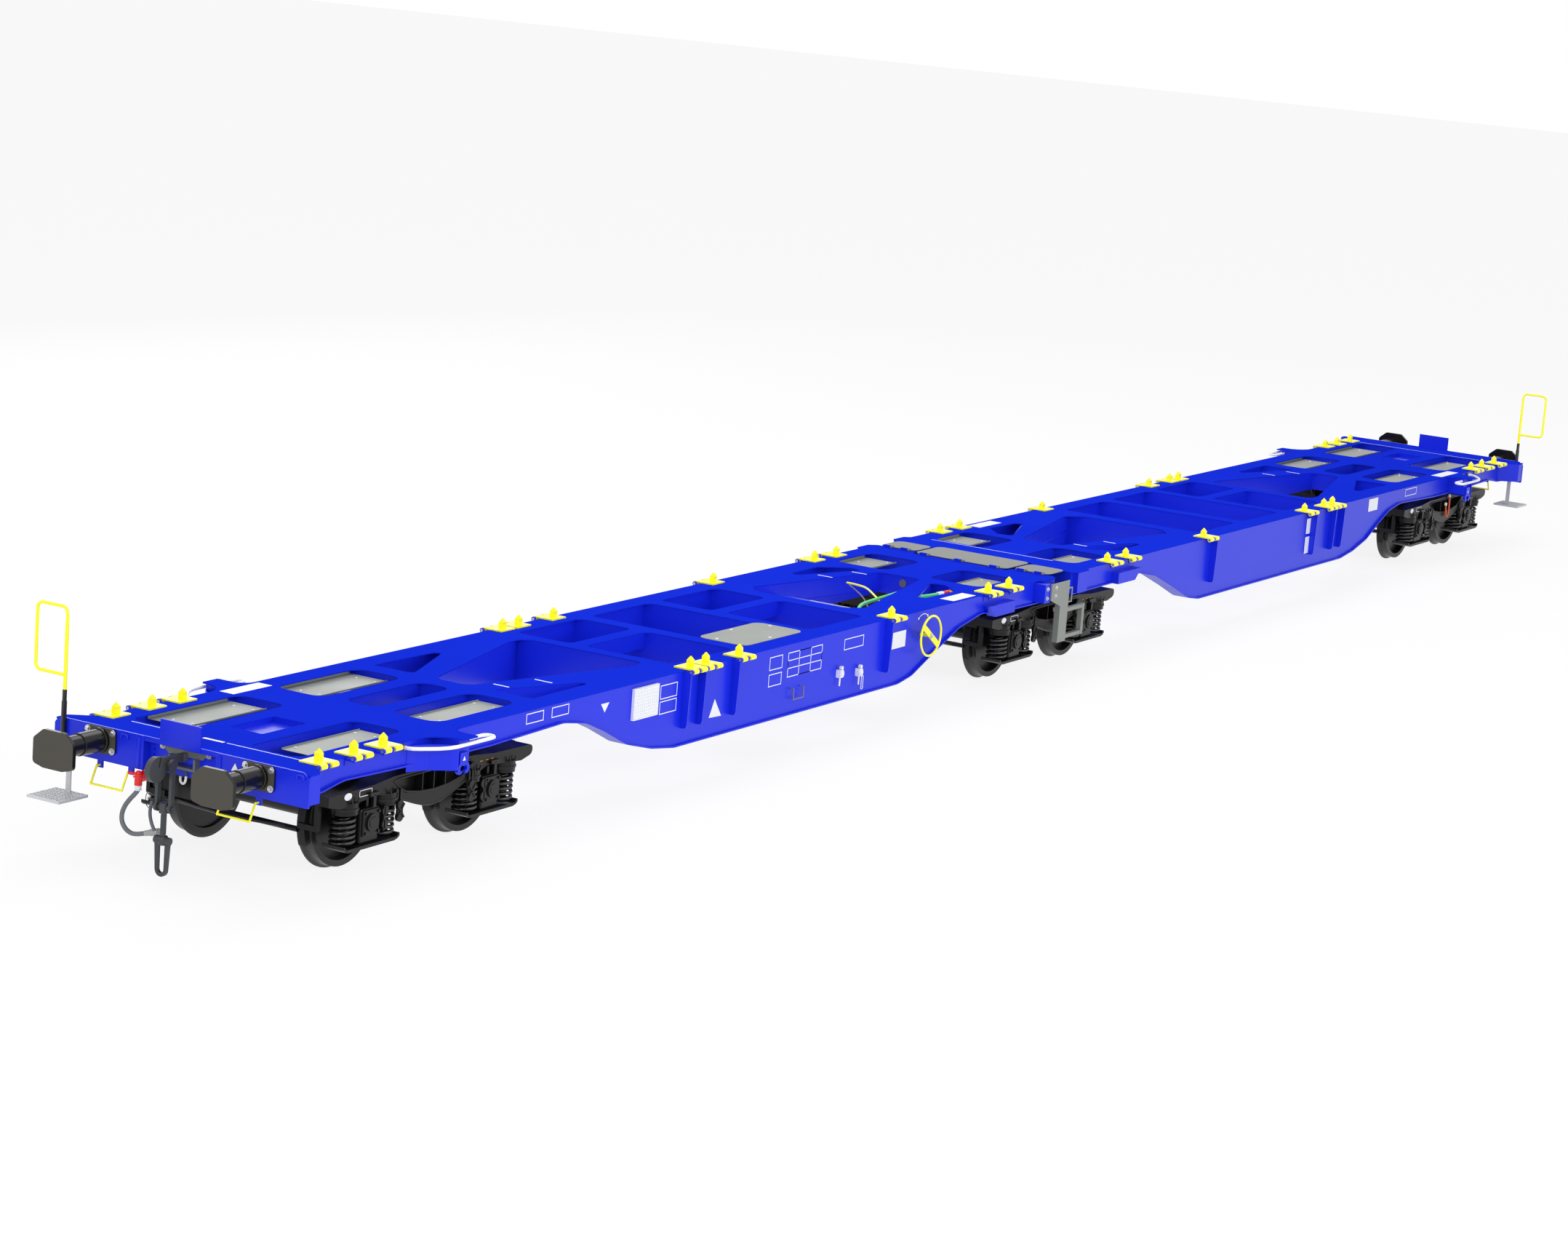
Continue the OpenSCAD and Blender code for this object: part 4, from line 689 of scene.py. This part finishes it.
for bogie, pivot in bogies.items():
    bm = bmesh.new()
    white = bmesh.new()
    marks = bmesh.new()
    for side in (-1, 1):
        rim = [Vector((pivot + x, side * 1.119, rail_top + z)) for x, z in window_rim]
        fasten(swept_bar(f"{bogie}_window_rim_{side_name[side]}", rim, 0.020, bogie_black, closed=True),
               bogie, "black_paint")
        belly = [Vector((pivot + x, side * 1.112, rail_top + z)) for x, z in lower_lip]
        fasten(swept_bar(f"{bogie}_lower_lip_{side_name[side]}", belly, 0.026, bogie_black), bogie, "black_paint")
        for axle in axle_pair:
            x = pivot + axle
            # T-shaped stop over the box
            add_side_slab(bm, side, (x - 0.020, x + 0.020), (1.118, 1.152), (0.60, 0.715), bevel=0.004)
            add_side_slab(bm, side, (x - 0.065, x + 0.065), (1.118, 1.152), (0.700, 0.735), bevel=0.006)
            inward = -1 if axle > 0 else 1
            # friction link: a pressed oval with a cross of ribs, hung from the frame by two straps
            link_x = x + inward * 0.365
            for rise in (0.455, 0.555):
                add_drum(bm, (link_x, side * 1.150, rail_top + rise), 0.048, 0.026)
            add_side_slab(bm, side, (link_x - 0.040, link_x + 0.040), (1.138, 1.162), (0.455, 0.555), bevel=0.004)
            for shift in (-0.034, 0.014):
                add_side_slab(bm, side, (link_x + shift, link_x + shift + 0.020), (1.120, 1.144), (0.560, 0.700),
                              bevel=0.003)
            for lean in (-38, 38):
                add_side_slab(bm, side, (link_x - 0.008, link_x + 0.008), (1.158, 1.170), (0.425, 0.585), lean)
            # collar and strap above each spring
            for reach in (-spring_reach, spring_reach):
                add_drum(bm, (x + reach, side * 1.02, rail_top + 0.620), 0.138, 0.02, axis="Z", sides=28)
                for lean in (-20, 20):
                    strap = x + reach + lean * 0.0018
                    add_side_slab(bm, side, (strap - 0.006, strap + 0.006), (1.138, 1.148), (0.625, 0.72), lean)
        spot = pivot + side * (half_wheelbase + 0.35)
        bmesh.ops.create_circle(white, cap_ends=True, segments=28, radius=0.036, matrix=Matrix.Translation(
            (spot, side * 1.1215, rail_top + 0.745)) @ Matrix.Rotation(math.radians(90 * -side), 4, "X")
            @ Matrix.Diagonal((1.5, 0.9, 1, 1)))
        plate = pivot + side * 1.0
        for dx0, dx1, low, high in ((-0.09, 0.09, 0.712, 0.718), (-0.09, 0.09, 0.766, 0.772),
                                    (-0.09, -0.084, 0.712, 0.772), (0.084, 0.09, 0.712, 0.772)):
            add_side_slab(white, side, (plate + dx0, plate + dx1), paint_depth, (low, high))
        for dx in (-0.05, 0.04, 0.12):
            x = pivot - side * 0.74 + dx
            add_side_slab(marks, side, (x, x + 0.045), paint_depth, (0.742, 0.750))
    for name, mesh, finish, mark in ((f"{bogie}_side_forgings", bm, box_black, "black_paint"),
                                     (f"{bogie}_white_marks", white, paint_white, "white_paint"),
                                     (f"{bogie}_test_marks", marks, ochre, "yellow_paint")):
        fasten(solid_from(name, mesh, finish), bogie, mark)

# ------------------------------------------------------------------ brake gear
# Tubular beams between the shoes, their slanting pull rods, and the safety wire loops at the beam ends.

for bogie, pivot in bogies.items():
    for axle in axle_pair:
        for reach in (-0.535, 0.535):
            x = pivot + axle + reach
            out = 1 if reach > 0 else -1
            name = f"{bogie}_beam_{'b' if axle > 0 else 'a'}_{'b' if reach > 0 else 'a'}"
            beam_line = [Vector((x, y, rail_top + 0.415)) for y in (-0.735, -0.3, 0, 0.3, 0.735)]
            fasten(swept_bar(name, beam_line, 0.052, bogie_black), bogie, "black_paint")
            for side in (-1, 1):
                stay = swept_bar(f"{name}_stay_{side_name[side]}", [
                    Vector((x, side * 0.62, rail_top + 0.42)), Vector((x + out * 0.12, side * 0.30, rail_top + 0.44)),
                    Vector((x + out * 0.20, 0, rail_top + 0.46))], 0.034, bogie_black)
                fasten(stay, bogie, "black_paint")
                if abs(axle + reach) > 1.2:
                    loop = [Vector((x + out * 0.055 + 0.085 * math.cos(math.radians(a)), side * 0.86,
                                    rail_top + 0.40 + 0.095 * math.sin(math.radians(a)))) for a in range(0, 360, 20)]
                    fasten(swept_bar(f"{name}_wire_{side_name[side]}", loop, 0.007, bogie_black, closed=True),
                           bogie, "black_paint")

# ------------------------------------------------------------------ bogie brake pipes
# Short orange pipes bent in a U on the side of the middle and far bogies, with a pale ferrule at each end.

pipe_orange = finish_with("orange_brake_pipe", (0.62, 0.085, 0.018), (0.52, 0.070, 0.016), 12, 160, (0.35, 0.5),
                          0.0003)
pipe_bend = [(-0.055, -1.142, 0.735), (-0.055, -1.150, 0.66), (-0.040, -1.152, 0.585), (0.005, -1.152, 0.545),
             (0.050, -1.152, 0.590), (0.062, -1.150, 0.69), (0.062, -1.142, 0.845)]
for bogie in ("bogie_mid", "bogie_b"):
    pivot = bogies[bogie]
    bend = [Vector((pivot + x, y, rail_top + z)) for x, y, z in pipe_bend]
    fasten(swept_bar(f"{bogie}_orange_pipe", smooth_route(bend, 5), 0.026, pipe_orange), bogie, "red_paint")
    ferrules = bmesh.new()
    for x, z in ((-0.055, 0.725), (0.062, 0.835)):
        add_drum(ferrules, (pivot + x, -1.143, rail_top + z), 0.019, 0.040, 16, axis="Z")
    fasten(solid_from(f"{bogie}_pipe_ferrules", ferrules, paint_white), bogie, "white_paint")

# ------------------------------------------------------------------ pipes and change-over lever
# The green and red load-brake pipe, its yellow lever and grey rod, and the blue tray that carries them, all
# just below the deck in the opening behind the middle bogie. Blue plates close the pockets near the ends.

pipe_green = finish_with("pale_green_pipe", (0.060, 0.62, 0.16), (0.05, 0.52, 0.13), 12, 160, (0.3, 0.45), 0.0003)
rod_grey = finish_with("grey_rod_paint", (0.10, 0.10, 0.12), (0.07, 0.07, 0.085), 12, 160, (0.35, 0.5), 0.0003)
pipe_line = deck_top - 0.036


def unit_a_bar(name, points, thickness, material, slot_name):
    route = [Vector((x, y, pipe_line + z)) for x, y, z in points]
    fasten(swept_bar(name, smooth_route(route, 5), thickness, material), "unit_a", slot_name)


# each route is (x, y, height over the pipe line)
unit_a_bar("green_pipe_long", [(-3.74, -0.66, -0.03), (-3.66, -0.60, -0.004), (-3.50, -0.53, 0), (-3.33, -0.484, 0),
                               (-3.0, -0.455, 0), (-2.61, -0.43, 0), (-2.30, -0.41, 0)],
           0.040, pipe_green, "white_paint")
unit_a_bar("green_pipe_short", [(-2.80, -0.60, 0), (-2.59, -0.66, 0), (-2.38, -0.73, 0), (-2.19, -0.757, 0)],
           0.042, pipe_green, "white_paint")
unit_a_bar("pipe_union", [(-2.20, -0.757, 0), (-2.15, -0.762, 0), (-2.10, -0.766, 0)], 0.056, gloss_white,
           "white_paint")
unit_a_bar("pipe_cock", [(-2.10, -0.766, 0), (-2.0, -0.77, 0), (-1.90, -0.77, 0)], 0.050, cock_red, "red_paint")
unit_a_bar("cock_lever", [(-1.98, -0.79, 0.01), (-1.92, -0.81, 0.012), (-1.86, -0.82, 0.012)], 0.016, paint_yellow,
           "yellow_paint")
unit_a_bar("yellow_lever", [(-2.45, 0.26, 0), (-2.50, 0.12, 0.008), (-2.58, -0.06, 0.008), (-2.82, -0.30, 0),
                            (-3.04, -0.51, -0.02)], 0.022, paint_yellow, "yellow_paint")
unit_a_bar("lever_rod", [(-2.50, 0.20, -0.01), (-2.72, -0.08, -0.05), (-2.95, -0.30, -0.1), (-3.12, -0.44, -0.2)],
           0.016, rod_grey, "dark_steel")
for unit, way in halves.items():
    pocket = bmesh.new()
    pocket_start, pocket_end = sorted((way * 12.655, way * 13.305))
    add_slab(pocket, (pocket_start, -0.20, deck_top - 0.125), (pocket_end, 0.20, deck_top - 0.115), bevel=0.002)
    fasten(solid_from(f"unit_{unit}_pocket_plate", pocket, deck_blue), f"unit_{unit}", "blue_paint")
tray = bmesh.new()
add_slab(tray, (-3.90, -0.74, deck_top - 0.118), (-3.36, 0.74, deck_top - 0.110), bevel=0.002)
add_slab(tray, (-3.365, -0.74, deck_top - 0.30), (-3.355, 0.74, deck_top - 0.110), bevel=0.002)
fasten(solid_from("pipe_tray", tray, paint_blue), "unit_a", "blue_paint")
# white strips along the tray's plate edges: painted highlights on those edges
edge_glints = bmesh.new()
for x, y0, y1, w in ((-3.80, -0.42, 0.05, 0.018), (-3.66, -0.62, 0.0, 0.006), (-3.372, -0.66, 0.18, 0.006)):
    add_slab(edge_glints, (x - w, y0, deck_top - 0.110), (x + w, y1, deck_top - 0.107))
fasten(solid_from("tray_edge_highlights", edge_glints, paint_white), "unit_a", "white_paint")
# a thin dark grey disc closes the hole in the web
hole_disc = bmesh.new()
add_drum(hole_disc, (0, 0, 0), 0.045, 0.006, 28)
hole_place = Matrix.Translation((-1.711, -0.04, deck_top - 0.085)) @ Matrix.Rotation(math.radians(90), 4, "Z")
bmesh.ops.transform(hole_disc, matrix=hole_place, verts=hole_disc.verts)
fasten(solid_from("web_hole_dark_disc", hole_disc, rod_grey), "unit_a", "dark_steel")

# ------------------------------------------------------------------ handbrake fittings
# A hub nut on each wheel, and the painted arc with two arrowheads above it.

for side in (-1, 1):
    way = side_name[side]
    centre = Vector((-3.27, side * 1.304, rail_top + 0.87))
    hub = bmesh.new()
    add_drum(hub, centre, 0.030, 0.012, 20)
    add_drum(hub, centre + Vector((0, side * 0.010, 0)), 0.018, 0.016, 6)
    fasten(solid_from(f"handbrake_hub_nut_{way}", hub, zinc), "unit_a", "galvanised")
    arc = bmesh.new()

    def paint_arc(corners, face=side * 1.1705, side=side):
        add_skin(arc, [(-3.235 + r * math.cos(t), face, rail_top + 0.925 + r * math.sin(t)) for r, t in corners],
                 (0, side, 0))

    for step in range(14):
        a = math.radians(58 + step * 5)
        b = math.radians(58 + (step + 1) * 5)
        paint_arc([(0.158, a), (0.166, a), (0.166, b), (0.158, b)])
    for t in (58, 128):
        tip = math.radians(t + (-10 if t < 90 else 10))
        base = math.radians(t)
        paint_arc([(0.144, base), (0.180, base), (0.162, tip)])
    fasten(solid_from(f"handbrake_arrows_{way}", arc, paint_white), "unit_a", "white_paint")

# ------------------------------------------------------------------ holder, valves and ladder bolts
# Wire front of the document holder, the two small valves with their round bodies and release loop, and the
# bolts of the ladder, the access plate and the side rails.

wires = bmesh.new()
for k in range(13):
    x = -8.905 + k * 0.0335
    add_slab(wires, (x - 0.003, -1.2045, rail_top + 0.775), (x + 0.003, -1.2005, rail_top + 1.075))
for k in range(10):
    z = rail_top + 0.785 + k * 0.0315
    add_slab(wires, (-8.917, -1.2045, z - 0.003), (-8.493, -1.2005, z + 0.003))
fasten(solid_from("holder_wires", wires, gloss_white), "unit_a", "white_paint")
valves = bmesh.new()
for x, z in ((-5.005, 0.681), (-4.605, 0.641)):
    add_drum(valves, (x, -1.227, rail_top + z), 0.030, 0.014, 20)
    add_drum(valves, (x, -1.237, rail_top + z), 0.015, 0.012, 6)
    add_drum(valves, (x + 0.012, -1.205, rail_top + z + 0.062), 0.020, 0.03, 16)
    for dx in (-0.028, 0.028):
        for dz in (-0.028, 0.028):
            add_drum(valves, (x + dx, -1.223, rail_top + z + dz), 0.007, 0.008, 6)
ring_bends = []
for a in range(0, 360, 20):
    across, rise = math.cos(math.radians(a)), math.sin(math.radians(a))
    ring_bends.append(Vector((-4.585 + 0.019 * across, -1.232,
                              rail_top + 0.535 + (0.055 if rise > 0 else -0.055) + 0.017 * rise)))
fasten(swept_bar("valve_release_loop", ring_bends, 0.008, gloss_white, closed=True), "unit_a", "white_paint")
fasten(solid_from("valve_bodies", valves, gloss_white), "unit_a", "white_paint")
bolt_set("ladder_bolts", "unit_a", [((-0.62, -1.3205, rail_top + z), (0, -1, 0)) for z in (0.955, 1.06)]
         + [((-0.45, -1.3385, rail_top + z), (0, -1, 0)) for z in (0.97, 1.06)], 0.018, 0.016)
bolt_set("access_plate_bolts", "unit_a", [((x, y, deck_top + 0.0055), (0, 0, 1)) for x, y in (
    (-5.97, -0.42), (-6.48, -0.57), (-5.45, -0.57), (-5.97, -0.89))], 0.014, 0.007, 10)
for unit, way in halves.items():
    for side in (-1, 1):
        bolt_set(f"side_rail_bolts_{unit}_{side_name[side]}", f"unit_{unit}", [
            ((way * (pivot_reach + dx), side * 1.1705, rail_top + 1.092), (0, side, 0)) for dx in (0.64, 0.69)],
            0.011, 0.006, 10)

# ------------------------------------------------------------------ end steps and grating
# Open grating, hot-dipped and bright: the bearing bars are in the solid model, and the thin bars welded
# across them are added here.

step_zinc = finish_with("bright_dipped_grating", (0.62, 0.63, 0.64), (0.52, 0.53, 0.54), 4, 120, (0.35, 0.5), 0.0003)
coat_node(step_zinc, *both("end_step"))

for unit, way in halves.items():
    bars = bmesh.new()
    for k in range(9):
        y = -1.393 + k * 0.042
        lo, hi = sorted((way * (y - 0.003), way * (y + 0.003)))
        x0, x1 = sorted((way * 14.130, way * 14.502))
        add_slab(bars, (x0, lo, rail_top + 0.480), (x1, hi, rail_top + 0.4995))
    fasten(solid_from(f"step_cross_bars_{unit}", bars, step_zinc), f"unit_{unit}", "galvanised")

# ------------------------------------------------------------------ end face details
# Coupling hanger in white, lashing loops, a small blank triangle, the coupling's thread and lever, and the
# clamps and flanges of the hose connection.

for unit, way in halves.items():
    def place(x, y, z, way=way):
        return Vector((way * x, way * y, rail_top + z))

    def bent(*points, place=place):
        return smooth_route([place(*p) for p in points], 4)

    stem_line = [place(14.125, 0.040, z) for z in (0.945, 0.92, 0.89, 0.865)]
    fasten(swept_bar(f"coupling_hanger_stem_{unit}", stem_line, 0.020, forged), f"unit_{unit}", "dark_steel")
    hanger = swept_bar(f"coupling_hanger_{unit}", bent(
        (14.125, 0.042, 0.870), (14.13, 0.044, 0.840), (14.13, 0.032, 0.812), (14.13, 0.012, 0.803),
        (14.13, -0.008, 0.815), (14.13, -0.015, 0.838), (14.13, -0.013, 0.862)), 0.022, gloss_white)
    fasten(hanger, f"unit_{unit}", "white_paint")
    for y, name in ((1.33, "outer"), (-0.60, "inner")):
        loop = swept_bar(f"end_loop_{name}_{unit}", bent(
            (14.176, y - 0.035, 1.10), (14.195, y - 0.035, 1.10), (14.20, y - 0.03, 1.13),
            (14.20, y + 0.03, 1.13), (14.195, y + 0.035, 1.10), (14.176, y + 0.035, 1.10)), 0.012, paint_blue)
        fasten(loop, f"unit_{unit}", "blue_paint")
    tri = bmesh.new()
    corners = [place(14.1752, 0.57, 1.03), place(14.1752, 0.65, 1.03), place(14.1752, 0.61, 1.10)]
    add_skin(tri, corners, (way, 0, 0))
    fasten(solid_from(f"end_triangle_{unit}", tri, paint_white), f"unit_{unit}", "white_paint")
    # screw thread, and the weighted lever that hangs from the trunnion
    screw = bmesh.new()
    for k in range(14):
        bmesh.ops.create_cone(screw, cap_ends=True, segments=20, radius1=0.0265, radius2=0.0265, depth=0.006,
                              matrix=Matrix.Translation(place(14.345, 0, 0.395 + k * 0.0125)))
    fasten(solid_from(f"coupling_thread_{unit}", screw, forged), f"coupling_{unit}", "dark_steel")
    lever = swept_bar(f"coupling_lever_{unit}", bent(
        (14.372, -0.112, 0.665), (14.378, -0.124, 0.60), (14.378, -0.122, 0.53), (14.376, -0.100, 0.46),
        (14.374, -0.070, 0.41)), 0.030, rod_grey)
    fasten(lever, f"coupling_{unit}", "dark_steel")
    # clamps and flanges of the hose connection
    ferrule = bmesh.new()
    for z, radius, depth in ((0.722, 0.031, 0.012), (0.706, 0.029, 0.020), (0.690, 0.031, 0.010)):
        add_drum(ferrule, place(14.235, -0.390, z), radius, depth, axis="Z", sides=28)
    fasten(solid_from(f"hose_collar_{unit}", ferrule, gloss_white), f"unit_{unit}", "white_paint")
    red = bmesh.new()
    for x, y, z, size in ((14.205, -0.39, 0.80, 0.046), (14.235, -0.39, 0.835, 0.030), (14.180, -0.372, 0.79, 0.036)):
        bmesh.ops.create_icosphere(red, subdivisions=3, radius=size, matrix=Matrix.Translation(place(x, y, z))
                                   @ Matrix.Diagonal((1.0, 1.0, 0.8, 1)))
    for k in range(6):
        turn_by = math.radians(60 * k)
        bolt_at = place(14.205, -0.39 + 0.036 * math.cos(turn_by), 0.80 + 0.036 * math.sin(turn_by))
        bmesh.ops.create_cone(red, cap_ends=True, segments=8, radius1=0.009, radius2=0.008, depth=0.10,
                              matrix=Matrix.Translation(bolt_at) @ Matrix.Rotation(math.radians(90), 4, "Y"))
    fasten(solid_from(f"cock_flanges_{unit}", red, cock_red), f"unit_{unit}", "red_paint")

# ------------------------------------------------------------------ wing details
# A rubber clamp on each white rail, and a small blank triangle on each rope hook.

for unit, way in halves.items():
    for side in (-1, 1):
        end = side_name[side]
        grips = bmesh.new()
        add_drum(grips, (way * 12.570, side * 1.186, rail_top + 1.090), 0.025, 0.024)
        fasten(solid_from(f"rail_clamp_{unit}_{end}", grips, rod_grey), f"unit_{unit}", "dark_steel")
        sign = bmesh.new()
        face = side * 1.4345
        add_skin(sign, [(way * pivot_reach - 0.022, face, rail_top + 0.925),
                        (way * pivot_reach + 0.022, face, rail_top + 0.925),
                        (way * pivot_reach, face, rail_top + 0.965)], (0, side, 0))
        fasten(solid_from(f"hook_triangle_{unit}_{end}", sign, paint_white), f"unit_{unit}", "white_paint")
